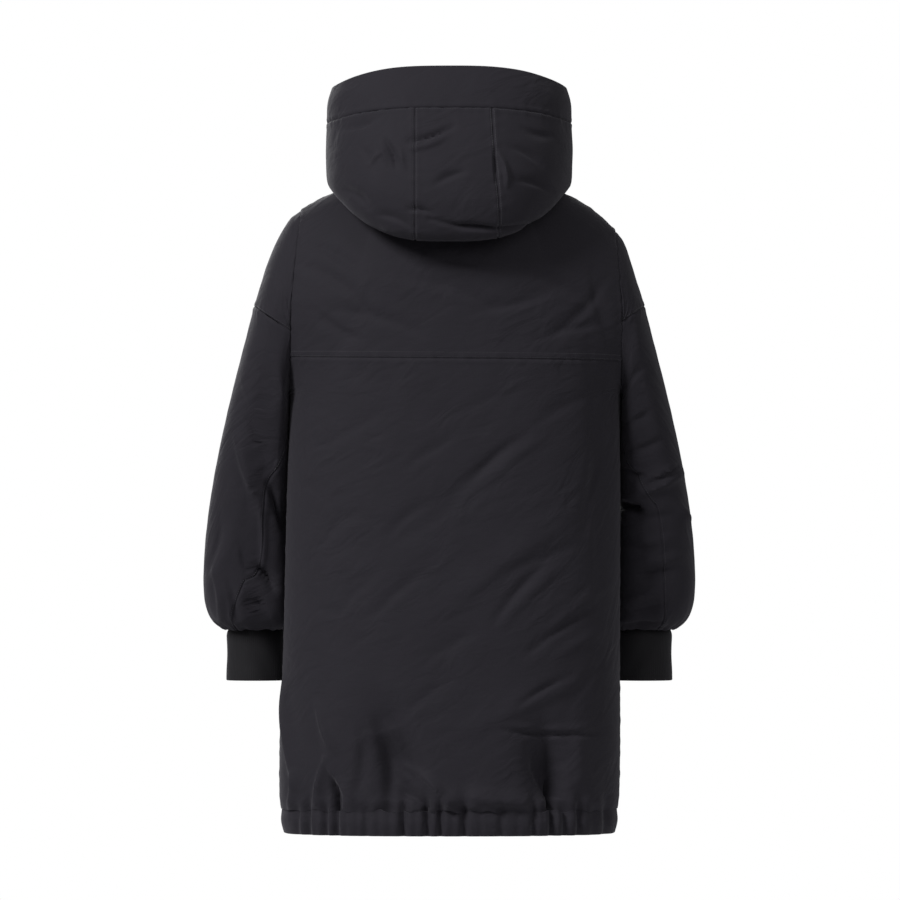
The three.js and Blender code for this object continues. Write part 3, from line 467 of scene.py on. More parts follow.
# Each panel's rough width, the step across it, its rough length, the step down it, and the
# finer steps across and down over the stretches of it that show most.
GRIDS = {
    "back_lower": (470, 2.6, 612, 4.1, None, 2.3),
    "back_yoke": (470, 2.6, 250, 3.2, None, None),
    "front": (235, 4.8, 850, 5.6, None, None),
    "casing_back": (700, 2.2, 33, 1.6, None, None),
    "casing_front": (350, 2.2, 33, 1.6, None, None),
    "flap": (62, 3.6, 800, 4.6, None, None),
    "hood_flap": (62, 2.4, 95, 2.4, None, None),
    "sleeve_cap": (300, 3.2, 160, 3.2, None, None),
    "sleeve_outer": (440, 6.4, 480, 3.2, 2.5, None),
    "sleeve_under": (170, 2.9, 380, 3.2, None, None),
    "cuff": (190, 1.6, 70, 1.6, None, None),
    "hood_centre": (110, 2.6, 330, 4.2, None, 2.1),
    "hood_side": (420, 5.4, 330, 4.2, 2.0, 2.1),
    "hood_band": (860, 3.2, 58, 1.8, None, None),
}

# Places beside a sewn edge that every grid has, and how close two places may come.
EDGE_PLACES = (0.5, 1.1, 1.9, 3.0, 4.6, 6.6)
CLOSEST_PLACES = 0.3
HALVINGS = 20

# The gathered hem: how far it puffs and over what height, and how its seam wanders.
HEM_PUFF = 2.2
HEM_PUFF_REACH = 9
HEM_WANDER = 3.4
HEM_WAVE = 8
GATHER_SPREAD = 30
SIDE_FADE = 0.12
BESIDE_SLEEVE = 0.7

# A fold is steep on one side and gentle on the other, and this shallow at its ends.
FOLD_STEEP = 0.6
FOLD_GENTLE = 1.2
FOLD_END = 0.35

# The unevenness of lying cloth: four waves as share, turns across, turns down and start.
WAVES = ((1, 1.7, 0.8, 0.4), (0.8, -1.1, 2.3, 1.9), (0.6, 3.1, 1.3, 2.7), (0.5, 0.6, -3.7, 0.9))

# The height and the size of that unevenness on each part.
UNEVEN = {
    "body": (0.35, 23),
    "sleeve": (0.3, 17),
    "hood": (0.5, 21),
    "band": (0.35, 34),
    "cuff": (0.3, 16),
}

# How far from the armhole and the cuff a sleeve's folds begin, and where its cap swells.
ARMHOLE_FADE = 60
WRIST_FADE = 12
WRIST_SPREAD = 34
SLEEVE_LINE_FADE = 0.5
CAP_SWELL_FADE = 16
CAP_SWELL_PLACE = 20
CAP_SWELL_REACH = 34

# A sewn edge: a groove where the pieces meet, then the soft ridge of the turned cloth.
GROOVE_WIDTH = 1.1
RIDGE_HEIGHT = 0.42
RIDGE_PLACE = 4.6
RIDGE_WIDTH = 2.6
PUCKER = 0.62
PUCKER_REACH = 9.0
PUCKER_WAVES = ((2.3, 0), (3.7, 1.1), (6.1, 0.5))

# A row of stitches, its place beside a seam, and one stitch.
STITCH_PLACE = 2.4
TWIN_PLACE = 8.4
FLAP_STITCH_PLACE = 7
STITCH_SHARE = 0.62
STITCH_HALF = 0.32
STITCH_RISE = 0.16
STITCH_SINK = -0.12
STITCH_TAPER = 0.45
STITCH_AHEAD = 0.5

# The flap ends at this level of the body, its width is worked out at so many levels, and
# its hood part starts at this ring.
FLAP_TOP = 2.82
FLAP_LEVELS = 260
FLAP_HOOD_RING = 2

# The way out of a surface is taken no nearer to its edges than this. At the hem it is level,
# and up to the last of these levels it turns to the surface's own.
ACROSS_MARGIN = 0.0015
LEVEL_MARGIN = 0.001
DOWN_MARGIN = 0.5
RING_MARGIN = 0.01
HEM_TURN = 0.03

SIDES = ((1, "left"), (-1, "right"))

# The pieces of the hem casing, the face of the body that each is on, and where it ends.
CASINGS = (
    ("hem_casing_back", 1, 0.9999),
    ("hem_casing_front_left", -1, 0.9999),
    ("hem_casing_front_right", -1, -0.9999),
)


def mix(start, end, share):
    return start + (end - start) * share


def ease(t):
    return t * t * (3 - 2 * t)


def point(x, y, z):
    return np.stack(np.broadcast_arrays(x, y, z), axis=-1).astype(float)


def unit(vectors):
    return vectors / np.maximum(np.linalg.norm(vectors, axis=-1, keepdims=True), 1e-12)


def through(rows, place, column, at):
    """One column of a table at a place between its rows, on a smooth curve through them."""
    keys, values = rows[place], rows[column]
    if keys[0] > keys[-1]:
        keys, values = keys[::-1], values[::-1]
    slopes = np.empty(len(keys))
    slopes[1:-1] = (values[2:] - values[:-2]) / (keys[2:] - keys[:-2])
    slopes[0] = (values[1] - values[0]) / (keys[1] - keys[0])
    slopes[-1] = (values[-1] - values[-2]) / (keys[-1] - keys[-2])
    i = np.clip(np.searchsorted(keys, at, side="right") - 1, 0, len(keys) - 2)
    span = keys[i + 1] - keys[i]
    t = np.clip((at - keys[i]) / span, 0, 1)
    turn = slopes[i] * span * t * (1 - t) ** 2 - slopes[i + 1] * span * t * t * (1 - t)
    return values[i] + (values[i + 1] - values[i]) * ease(t) + turn


def where_zero(value, start, end):
    """Where a value that changes sign once between two ends is zero, by halving."""
    low, high = np.asarray(start, float), np.asarray(end, float)
    first = value(low) > 0
    for _ in range(HALVINGS):
        middle = (low + high) / 2
        same = (value(middle) > 0) == first
        low, high = np.where(same, middle, low), np.where(same, high, middle)
    return (low + high) / 2


def outward(surface, u, v, handed):
    step = 1e-4
    along_u = surface(u + step, v) - surface(u - step, v)
    along_v = surface(u, v + step) - surface(u, v - step)
    return unit(np.cross(along_u, along_v)) * handed


def fold_height(folds, x, z):
    """How far folds lift the cloth: steep on one side, faded at the ends, bent by their bend."""
    height = np.zeros(np.shape(x))
    for x1, z1, x2, z2, bend, depth, width in zip(*folds.values()):
        run = np.array([x2 - x1, z2 - z1])
        length = np.hypot(*run)
        along = ((x - x1) * run[0] + (z - z1) * run[1]) / length**2
        aside = ((x - x1) * run[1] - (z - z1) * run[0]) / length
        t = np.clip(along, 0, 1)
        beyond = (along - t) * length
        offset = aside - 4 * bend * t * (1 - t)
        reach = width * np.where(offset < 0, FOLD_STEEP, FOLD_GENTLE)
        fade = mix(FOLD_END, 1, np.sin(np.pi * t))
        height += depth * fade * np.exp(-((offset / reach) ** 2) - (beyond / width) ** 2)
    return height


def gather_height(gathers, x, z):
    above = np.maximum(0, z - HEM_SEAM)
    height = np.zeros(np.shape(x))
    for place, depth, width, rise in zip(*gathers.values()):
        share = np.exp(-((above / rise) ** 2))
        height -= depth * share * np.exp(-(((x - place) / (width * (1 + above / GATHER_SPREAD))) ** 2))
    return height


def soft_waves(s, t, size):
    """Shallow unevenness of lying cloth, with no two waves alike, between -1 and 1."""
    waves = (share * np.sin((a * s + b * t) / size + start) for share, a, b, start in WAVES)
    return sum(waves) / sum(wave[0] for wave in WAVES)


def unevenness(part, s, t):
    height, size = UNEVEN[part]
    return height * soft_waves(s, t, size)


# Body. across runs from -1 on the right to 1 on the left, and level from 0 at the hem seam to
# 1 at the underarm, 2 halfway up the armhole and 3 at the shoulder and neck line.
def body_ring(across, z, face):
    aside = np.sin(across * np.pi / 2)
    depth = through(BODY_RINGS, "z", "back" if face > 0 else "front", z)
    deep = np.maximum(1 - np.abs(aside) ** BODY_SQUARENESS, 0) ** (1 / BODY_SQUARENESS)
    x = through(BODY_RINGS, "z", "lean", z) + through(BODY_RINGS, "z", "half", z) * aside
    return point(x, face * depth * deep, z)


def armhole_points(sign):
    x, z = SHOULDER_POINTS[sign]
    top = np.array([sign * x, SHOULDER_Y, z], float)
    bottom = body_ring(np.float64(sign), np.float64(UNDERARM), 1)
    middle_x = (top[0] + bottom[0]) / 2 + sign * ARMHOLE_BOW
    middle_z = (top[2] + bottom[2]) / 2
    back = np.array([middle_x, ARMHOLE_DEPTH, middle_z])
    front = np.array([middle_x, -ARMHOLE_DEPTH, middle_z])
    return {"outer": top, "inner": bottom, "back": back, "front": front}


ARMHOLES = {sign: armhole_points(sign) for sign in (1, -1)}


def blade_section(across, face):
    line = "back" if face > 0 else "front"
    edge = np.where((across < 0)[..., None], ARMHOLES[-1][line], ARMHOLES[1][line])
    aside = np.abs(np.sin(across * np.pi / 2))
    angle = np.arcsin(np.clip(aside * np.sin(BLADE_END), -1, 1))
    share = (np.cos(angle) - np.cos(BLADE_END)) / (1 - np.cos(BLADE_END))
    middle = BLADE_BACK if face > 0 else -BLADE_FRONT
    return point(
        mix(BLADE_LEAN, edge[..., 0], aside),
        mix(edge[..., 1], middle, share),
        mix(edge[..., 2], BLADE_Z, share),
    )


def top_line(across, face):
    sign = np.where(across < 0, -1, 1)
    size = np.abs(across)
    angle = np.clip(size / NECK_SHARE, 0, 1) * np.pi / 2
    neck = free_hood(0.0, sign * (angle if face > 0 else np.pi - angle))
    neck_aside = np.sin(NECK_SHARE * np.pi / 2)
    share = np.clip((np.sin(size * np.pi / 2) - neck_aside) / (1 - neck_aside), 0, 1)
    shoulder_x = np.where(across < 0, SHOULDER_POINTS[-1][0], SHOULDER_POINTS[1][0])
    shoulder_z = np.where(across < 0, SHOULDER_POINTS[-1][1], SHOULDER_POINTS[1][1])
    crown = np.where(across < 0, SHOULDER_CROWNS[-1], SHOULDER_CROWNS[1])
    crown = 4 * crown * share**CROWN_LEAN * (1 - share)
    x = sign * mix(NECK_HALF, shoulder_x, share)
    shoulder = point(x, SHOULDER_Y, mix(NECK_SIDE_Z, shoulder_z, share) + crown)
    return np.where((size <= NECK_SHARE)[..., None], neck, shoulder)


def smooth_body(across, level, face):
    low = body_ring(across, mix(HEM_SEAM, UNDERARM, np.minimum(level, 1)), face)
    blade = blade_section(across, face)
    top = top_line(across, face)
    rise = np.clip(level - 1, 0, 1)
    turn = rise * np.pi / 2
    edgeness = np.abs(across) ** 4
    up = mix(rise, 1 - np.cos(turn), edgeness)
    swell = mix(ease(rise), np.sin(turn), edgeness)
    fall = np.clip(3 - level, 0, 1) * np.pi / 2
    down, out = 1 - np.cos(fall), np.sin(fall)
    middle = mix(low, blade, point(up, swell, up))
    high = mix(top, blade, point(down, out, down))
    return np.where((level <= 1)[..., None], low, np.where((level <= 2)[..., None], middle, high))


def body_surface(face):
    return lambda across, level: smooth_body(across, level, face)


def body_out(face):
    surface = body_surface(face)

    def out(across, level):
        inside = np.clip(level, LEVEL_MARGIN, 3 - LEVEL_MARGIN)
        near = np.clip(across, ACROSS_MARGIN - 1, 1 - ACROSS_MARGIN)
        ways = outward(surface, near, inside, -face)
        flat = unit(ways * np.array([1, 1, 0]))
        return unit(mix(flat, ways, ease(np.clip(level / HEM_TURN, 0, 1))[..., None]))

    return out


def lap(y, z):
    """How far the sleeve and the body both bend outward where one lies along the other."""
    middle = np.interp(z, [LAP_BOTTOM, LAP_TOP], [LAP_BOTTOM_Y, LAP_TOP_Y])
    ends = np.clip((LAP_TOP - z) / LAP_TOP_FADE, 0, 1)
    ends = ends * np.clip((z - LAP_BOTTOM) / LAP_BOTTOM_FADE, 0, 1)
    turn = 2 * np.pi * (y - middle - LAP_SHIFT) / LAP_LENGTH
    return LAP_DEPTH * ease(ends) * np.sin(turn) * np.exp(-(((y - middle) / LAP_REACH) ** 2))


def near_side(across):
    """1 over most of the body, falling to 0 at the side seams."""
    return ease(np.clip((1 - np.abs(across)) / SIDE_FADE, 0, 1))


def body_relief(face, *folds):
    gathers = BACK_GATHERS if face > 0 else FRONT_GATHERS

    def relief(points, across, level):
        x, z = points[..., 0], points[..., 2]
        puff = HEM_PUFF * np.exp(-(((z - HEM_SEAM) / HEM_PUFF_REACH - 1) ** 2))
        height = puff * (0.6 + 0.4 * soft_waves(x, 0, HEM_PUFF_REACH))
        height += gather_height(gathers, x, z) + sum(fold_height(rows, x, z) for rows in folds)
        beside_sleeve = (np.abs(across) > BESIDE_SLEEVE) * lap(points[..., 1], z)
        return near_side(across) * (height + unevenness("body", x, z)) + beside_sleeve

    return relief


def hem_line(across, face):
    """How far the gathers pull the hem's seam up or let it down."""
    x = body_ring(across, np.float64(HEM_SEAM), face)[..., 0]
    return near_side(across) * HEM_WANDER * soft_waves(x, 0, HEM_WAVE)


def level_at(across, z, face):
    none = np.zeros(np.shape(across))
    return where_zero(lambda level: smooth_body(across, level, face)[..., 2] - z, none, none + 3)


# Sleeve. down is millimetres along the outer line from the armhole, and angle goes round from
# the outer line, over the back at a quarter turn, to the inner line at half a turn.
def beside_body(sign, z, y):
    """How far aside of the coat's middle the body's side is, at a height and a y."""
    half, lean, back, front = (
        through(BODY_RINGS, "z", column, z) for column in ("half", "lean", "back", "front")
    )
    share = 1 - (np.abs(y) / np.where(y > 0, back, front)) ** BODY_SQUARENESS
    return half * share ** (1 / BODY_SQUARENESS) + sign * lean


def sleeve_rows(sign):
    rings = SLEEVE_RINGS
    beside = beside_body(sign, rings["inner_z"], rings["y"]) + rings["clearance"]
    outer = point(sign * rings["outer_x"], rings["y"], rings["outer_z"])
    inner = point(sign * beside, rings["y"], rings["inner_z"])
    wrist = np.array([sign * (CUFF_OUTER_X + 1), CUFF_Y, CUFF_TOP + 0.2])
    outer = np.vstack([outer, wrist])
    inner = np.vstack([inner, wrist - [sign * CUFF_WIDTH, 0, 0]])
    depth = np.append(rings["depth"], CUFF_DEPTH + 1)
    bow = np.append(sign * rings["bow"], 0)
    middle = (outer + inner) / 2
    sideways = point(bow, depth, 0)
    lines = {
        "outer": outer,
        "inner": inner,
        "back": middle + sideways,
        "front": middle + sideways * [1, -1, 1],
    }
    rows = {}
    for line, points in lines.items():
        points = np.vstack([ARMHOLES[sign][line], points])
        if line == "outer":
            steps = np.linalg.norm(np.diff(points, axis=0), axis=1)
            rows["down"] = np.append(0, np.cumsum(steps))
        for k in range(3):
            rows[f"{line}{k}"] = points[:, k]
    return rows


SLEEVES = {sign: sleeve_rows(sign) for sign in (1, -1)}


def sleeve_ring(sign, down, angle):
    rows = SLEEVES[sign]

    def line(name):
        return np.stack([through(rows, "down", f"{name}{k}", down) for k in range(3)], axis=-1)

    near = np.where((np.cos(angle) > 0)[..., None], line("outer"), line("inner"))
    side = np.where((np.sin(angle) > 0)[..., None], line("back"), line("front"))
    inner_back = (np.cos(angle) < 0) & (np.sin(angle) > 0)
    square = np.where(inner_back, INNER_SQUARENESS[sign], SLEEVE_SQUARENESS)
    exponent = 2 / mix(2, square, np.clip(down / SQUARE_REACH, 0, 1))
    turned = 1 - np.abs(np.cos(angle)) ** exponent
    out = np.abs(np.sin(angle)) ** exponent
    return mix(near, side, point(turned, out, turned))


def sleeve_relief(sign):
    end = SLEEVES[sign]["down"][-1]
    own = (LEFT_SLEEVE_FOLDS, LEFT_SLEEVE_CREASES)
    other = (RIGHT_SLEEVE_FOLDS, RIGHT_SLEEVE_CREASES)
    back, front = (own, other) if sign > 0 else (other, own)

    def relief(points, down, angle):
        x, z = np.abs(points[..., 0]), points[..., 2]
        side = np.sin(angle)
        share = ease(np.clip(np.abs(side) / SLEEVE_LINE_FADE, 0, 1))
        share = share * ease(np.clip(down / ARMHOLE_FADE, 0, 1))
        share = share * ease(np.clip((end - down) / WRIST_FADE, 0, 1))
        at_back = sum(fold_height(folds, x, z) for folds in back)
        at_front = sum(fold_height(folds, x, z) for folds in front)
        height = share * np.where(side > 0, at_back, at_front)
        degrees = np.degrees(np.arctan2(np.sin(angle), np.cos(angle)))
        above = end - down
        for place, depth, width, rise in zip(*WRIST_GATHERS.values()):
            away = (degrees - place + 180) % 360 - 180
            spread = width * (1 + above / WRIST_SPREAD)
            height -= depth * np.exp(-((above / rise) ** 2)) * np.exp(-((away / spread) ** 2))
        height -= (np.cos(angle) < 0) * lap(points[..., 1], z)
        cap = np.exp(-(((down - CAP_SWELL_PLACE) / CAP_SWELL_REACH) ** 2))
        cap = cap * ease(np.clip(down / CAP_SWELL_FADE, 0, 1))
        height += CAP_SWELL[sign] * cap * np.clip(np.cos(angle), 0, 1) ** 2
        return height + unevenness("sleeve", points[..., 1] + 2 * x, z)

    return relief


def seam_angle(sign, down, column):
    outer_z = through(SLEEVES[sign], "down", "outer2", down)
    return np.radians(through(SLEEVE_SEAMS, "z", column, outer_z))


def cap_seam(sign, angle):
    """Where the cap's seam crosses the sleeve at an angle, or 0 where it is in the armhole."""

    def above(down):
        places = sleeve_ring(sign, down, angle)
        return places[..., 2] - CAP_SEAM_Z - CAP_SEAM_SLOPE * (np.abs(places[..., 0]) - CAP_SEAM_X)

    none = np.zeros(np.shape(angle))
    return np.where(above(none) <= 0, 0, where_zero(above, none, none + CAP_LONGEST))


def cap_end(sign):
    return float(where_zero(lambda angle: cap_seam(sign, angle) - 1e-9, 0.0, np.pi))


# Hood. ring runs from 0 at the neck seam to 9 at the rim, and angle from 0 at the centre back,
# over the wearer's left side, to half a turn at the centre front.
def free_hood(ring, angle):
    def row(column):
        return through(HOOD_RINGS, "ring", column, ring)

    exponent = 2 / row("square")
    aside = np.abs(np.sin(angle)) ** exponent
    deep = np.abs(np.cos(angle)) ** exponent
    at_back = np.cos(angle) > 0
    return point(
        np.sign(np.sin(angle)) * row("side") * aside,
        mix(row("mid"), np.where(at_back, row("back"), row("front")), deep),
        mix(np.where(at_back, row("back_z"), row("front_z")), row("side_z"), aside**HOOD_DROOP),
    )


def shoulder_height(x, y):
    """The height of the shoulders under a place, or far below where there are none."""
    heights = []
    for face in (1, -1):

        def turn_at(across, face=face):
            top, blade = top_line(across, face)[..., 1], blade_section(across, face)[..., 1]
            return (y - top) / (blade - top)

        def place(across, face=face, turn_at=turn_at):
            sine = np.clip(turn_at(across), 0, 1)
            return smooth_body(across, 3 - np.arcsin(sine) / (np.pi / 2), face)

        edge = np.ones(np.shape(x))
        across = where_zero(lambda share: place(share)[..., 0] - x, -edge, edge)
        heights.append(np.where(turn_at(across) > 1, FAR_BELOW, place(across)[..., 2]))
    return np.where(y > SHOULDER_Y, *heights)


def hood_ring(ring, angle):
    x, y, z = np.moveaxis(free_hood(ring, angle), -1, 0)
    ring = np.broadcast_to(ring, x.shape)
    low = ring <= HOOD_LYING_RING
    start = np.clip(ring[low], 0, 1)
    rest = shoulder_height(x[low], y[low]) + HOOD_REST * start
    height = z.copy()
    height[low] = (z[low] + rest + np.hypot(z[low] - rest, HOOD_SOFTNESS * start)) / 2
    return point(x, y, height + HOOD_LIFT)


def hood_out(ring, angle):
    inside = np.clip(ring, RING_MARGIN, HOOD_RIM_RING - RING_MARGIN)
    return outward(hood_ring, inside, angle, 1)


def hood_angle(ring, aside):
    """The angle at which a ring of the hood lies this far aside of the middle."""
    share = aside / through(HOOD_RINGS, "ring", "side", ring)
    return np.arcsin(share ** (through(HOOD_RINGS, "ring", "square", ring) / 2))


def hood_seam(ring, column):
    return hood_angle(ring, through(HOOD_RINGS, "ring", column, ring))


def hood_relief(points, ring, angle):
    x, z = points[..., 0], points[..., 2]
    outside = ease(np.clip((ring - HOOD_OUTSIDE_RING) / HOOD_OUTSIDE_FADE, 0, 1))
    behind = ease(np.clip(np.cos(angle) / HOOD_BEHIND_FADE, 0, 1))
    creases = behind * fold_height(HOOD_CREASES, x, z)
    return outside * (creases + unevenness("hood", np.degrees(angle) * HOOD_DEGREE, z))


# Panels. A panel is a grid of places on a surface with the way out at each, and how far each
# place is from the panel's four edges, measured on the cloth.
def shares(length, step, fine_start, fine_end, fine):
    """Places from 0 to 1 along a length, closer beside its ends and over its fine stretch."""
    places = list(np.linspace(0, 1, max(2, round(length / step) + 1)))
    if fine:
        start, end, fine_step = fine
        count = round((end - start) * length / fine_step)
        places = [place for place in places if not start < place < end]
        places += list(np.linspace(start, end, count + 1))
    for place in EDGE_PLACES:
        places += [place / length] * fine_start + [1 - place / length] * fine_end
    places = np.unique(places)
    keep = np.append(True, np.diff(places) > CLOSEST_PLACES / length)
    keep[-1] = True
    return places[keep]


def grid(name, sides=(True, True), ends=(True, True), fine_across=(), fine_down=()):
    """The places of a panel's grid across and down, closer beside its sides and ends."""
    width, across_step, length, down_step, finer_across, finer_down = GRIDS[name]
    across = shares(width, across_step, *sides, fine_across and (*fine_across, finer_across))
    down = shares(length, down_step, *ends, fine_down and (*fine_down, finer_down))
    return across, down


def measured(points):
    """How far each place of a grid lies along its row and down its column."""
    row_steps = np.linalg.norm(np.diff(points, axis=1), axis=-1)
    column_steps = np.linalg.norm(np.diff(points, axis=0), axis=-1)
    along = np.pad(np.cumsum(row_steps, axis=1), ((0, 0), (1, 0)))
    down = np.pad(np.cumsum(column_steps, axis=0), ((1, 0), (0, 0)))
    return along, down


def cloth():
    return bpy.context.scene.parka_cloth


def seam_relief(away, along):
    groove = -cloth().groove / MM * np.exp(-((away / GROOVE_WIDTH) ** 2))
    ridge = RIDGE_HEIGHT * np.exp(-(((away - RIDGE_PLACE) / RIDGE_WIDTH) ** 2))
    waves = sum(np.sin(along / length + start) for length, start in PUCKER_WAVES)
    return groove + ridge + PUCKER * waves * np.exp(-away / PUCKER_REACH) / 2


def rolled(away, thickness):
    """How far a folded edge's face turns in, at a distance from the edge."""
    half = thickness / 2
    inside = np.clip(1 - away / half, 0, 1)
    return half * (1 - np.sqrt(1 - inside**2))


def cut_panel(surface, out, at, places, relief=None, edges="", rolls="", thickness=0, raised=0):
    """The outer and inner faces of a panel, its UVs in metres, and its flat size."""
    thickness = thickness or cloth().thickness / MM
    a, b = np.meshgrid(*places)
    u, v = at(a, b)
    base = surface(u, v)
    ways = out(u, v)
    along, down = measured(base)
    away = {
        "start": along,
        "end": along[:, -1:] - along,
        "top": down[-1:] - down,
        "bottom": down,
    }
    height = np.zeros(base.shape[:2]) + raised
    if relief:
        height += relief(base, u, v)
    for edge in edges.split():
        height += seam_relief(away[edge], down if edge in ("start", "end") else along)
    turned = sum((rolled(away[edge], thickness) for edge in rolls.split()), np.zeros(base.shape[:2]))
    outer = base + ways * (height - turned)[..., None]
    inner = base + ways * (height - thickness + turned)[..., None]
    middle = along[:, along.shape[1] // 2][:, None]
    level = np.broadcast_to(down[:, down.shape[1] // 2][:, None], down.shape)
    uv = np.stack([along - middle, level], -1)
    sides = base[1:, 1:] - base[:-1, :-1], base[1:, :-1] - base[:-1, 1:]
    area = np.linalg.norm(np.cross(*sides), axis=-1).sum() / 2
    flat = (along[:, -1].max(), down[-1].max())
    return {
        "outer": outer,
        "inner": inner,
        "uv": uv * MM,
        "ways": ways,
        "away": away,
        "flat": [size * MM for size in flat],
        "area": area * MM * MM,
    }


def turned_out(points, faces):
    """The faces of a closed mesh, turned over if they face inward."""
    corners = points[faces]
    ways = np.cross(corners[:, 2] - corners[:, 0], corners[:, 3] - corners[:, 1])
    return faces[:, ::-1] if (corners.mean(axis=1) * ways).sum() < 0 else faces


def sewn_mesh(name, panel, wrap=False):
    """A closed thin shell from a panel's two faces, with its rim, its UVs and faces outward."""
    rows, columns = panel["outer"].shape[:2]
    count = rows * columns
    points = np.concatenate([panel["outer"].reshape(-1, 3), panel["inner"].reshape(-1, 3)]) * MM
    index = np.arange(count).reshape(rows, columns)
    if wrap:
        index = np.concatenate([index[:, :-1], index[:, :1]], axis=1)
    squares = np.stack([index[:-1, :-1], index[:-1, 1:], index[1:, 1:], index[1:, :-1]], -1)
    squares = squares.reshape(-1, 4)
    loops = [index[0], index[-1][::-1]] if wrap else [
        np.concatenate([index[0], index[1:, -1], index[-1, -2::-1], index[-2::-1, 0]])
    ]
    rims = [np.stack([r[1:], r[:-1], r[:-1] + count, r[1:] + count], -1) for r in loops]
    faces = turned_out(points, np.concatenate([squares, squares[:, ::-1] + count, *rims]))
    used, faces = np.unique(faces, return_inverse=True)
    faces = faces.reshape(-1, 4)
    uv = np.concatenate([panel["uv"].reshape(-1, 2)] * 2)[used]
    return add_mesh(name, points[used], faces, uv)


def add_mesh(name, points, faces, uv):
    mesh = bpy.data.meshes.new(name)
    mesh.from_pydata(points.tolist(), [], faces.tolist())
    layer = mesh.uv_layers.new(name="cloth")
    layer.data.foreach_set("uv", uv[faces.ravel()].astype(np.float32).ravel())
    mesh.validate()
    piece = bpy.data.objects.new(name, mesh)
    bpy.context.scene.collection.objects.link(piece)
    bpy.ops.object.select_all(action="DESELECT")
    piece.select_set(True)
    bpy.context.view_layer.objects.active = piece
    bpy.ops.object.shade_smooth_by_angle(angle=math.radians(60))
    return piece


def along_line(at, run, values):
    """The three coordinates of a line at a distance along it."""
    return np.array([np.interp(at, run, values[:, k]) for k in range(3)])


def stitch_row(name, lines):
    """A row of raised stitches along each line of places on the cloth, with the ways out."""
    section = np.array([(STITCH_HALF, 0), (0, STITCH_HALF), (-STITCH_HALF, 0), (0, -STITCH_HALF)])
    pitch = cloth().stitch / MM
    points, faces = [], []
    for places, ways in lines:
        run = np.append(0, np.cumsum(np.linalg.norm(np.diff(places, axis=0), axis=1)))
        for start in np.arange(pitch / 2, run[-1] - pitch, pitch):
            for share, size in ((0, STITCH_TAPER), (0.5, 1), (1, STITCH_TAPER)):
                at = start + share * pitch * STITCH_SHARE
                centre, way = along_line(at, run, places), unit(along_line(at, run, ways))
                ahead = along_line(at + STITCH_AHEAD, run, places)
                side = unit(np.cross(ahead - centre, way))
                centre = centre + way * (STITCH_RISE if share == 0.5 else STITCH_SINK)
                points.append(centre + size * (section[:, :1] * side + section[:, 1:] * way))
            first = 4 * (len(points) - 3)
            for ring in (first, first + 4):
                for k in range(4):
                    after = (k + 1) % 4
                    faces.append((ring + k, ring + after, ring + 4 + after, ring + 4 + k))
            faces.append((first + 3, first + 2, first + 1, first))
            faces.append((first + 8, first + 9, first + 10, first + 11))
    points = np.concatenate(points) * MM
    return add_mesh(name, points, turned_out(points, np.array(faces)), points[:, :2])


def beside_edge(panel, edge, place):
    """The line on a panel's outer face that lies a distance in from one of its edges."""
    away, outer, ways = panel["away"][edge], panel["outer"], panel["ways"]
    if edge in ("start", "end"):
        away, outer, ways = away.T, np.swapaxes(outer, 0, 1), np.swapaxes(ways, 0, 1)
    lines = [[], []]
    for column in range(away.shape[1]):
        order = np.argsort(away[:, column])
        for line, values in zip(lines, (outer, ways)):
            line.append(along_line(place, away[order, column], values[order, column]))
    return np.array(lines[0]), unit(np.array(lines[1]))


# Materials.
def linear(colour):
    """An sRGB hex colour as the linear values that Blender takes."""
    values = [int(colour[k : k + 2], 16) / 255 for k in (1, 3, 5)]
    return tuple(v / 12.92 if v <= 0.04045 else ((v + 0.055) / 1.055) ** 2.4 for v in values)


def solid(colour, lighter=1.0):
    return (*(lighter * value for value in colour), 1.0)


def add_node(tree, kind, links=(), **settings):
    """A node with its settings, where a name with an underscore first is a socket's."""
    node = tree.nodes.new(kind)
    for name, value in settings.items():
        if name.startswith("_"):
            node.inputs[name[1:].replace("_", " ")].default_value = value
        else:
            setattr(node, name, value)
    for source, output, socket in links:
        tree.links.new(source.outputs[output], node.inputs[socket])
    return node


def new_material(name, **surface):
    material = bpy.data.materials.new(name)
    material.use_nodes = True
    tree = material.node_tree
    shader = tree.nodes["Principled BSDF"]
    for socket, value in surface.items():
        shader.inputs[socket.replace("_", " ")].default_value = value
    return material, tree, shader


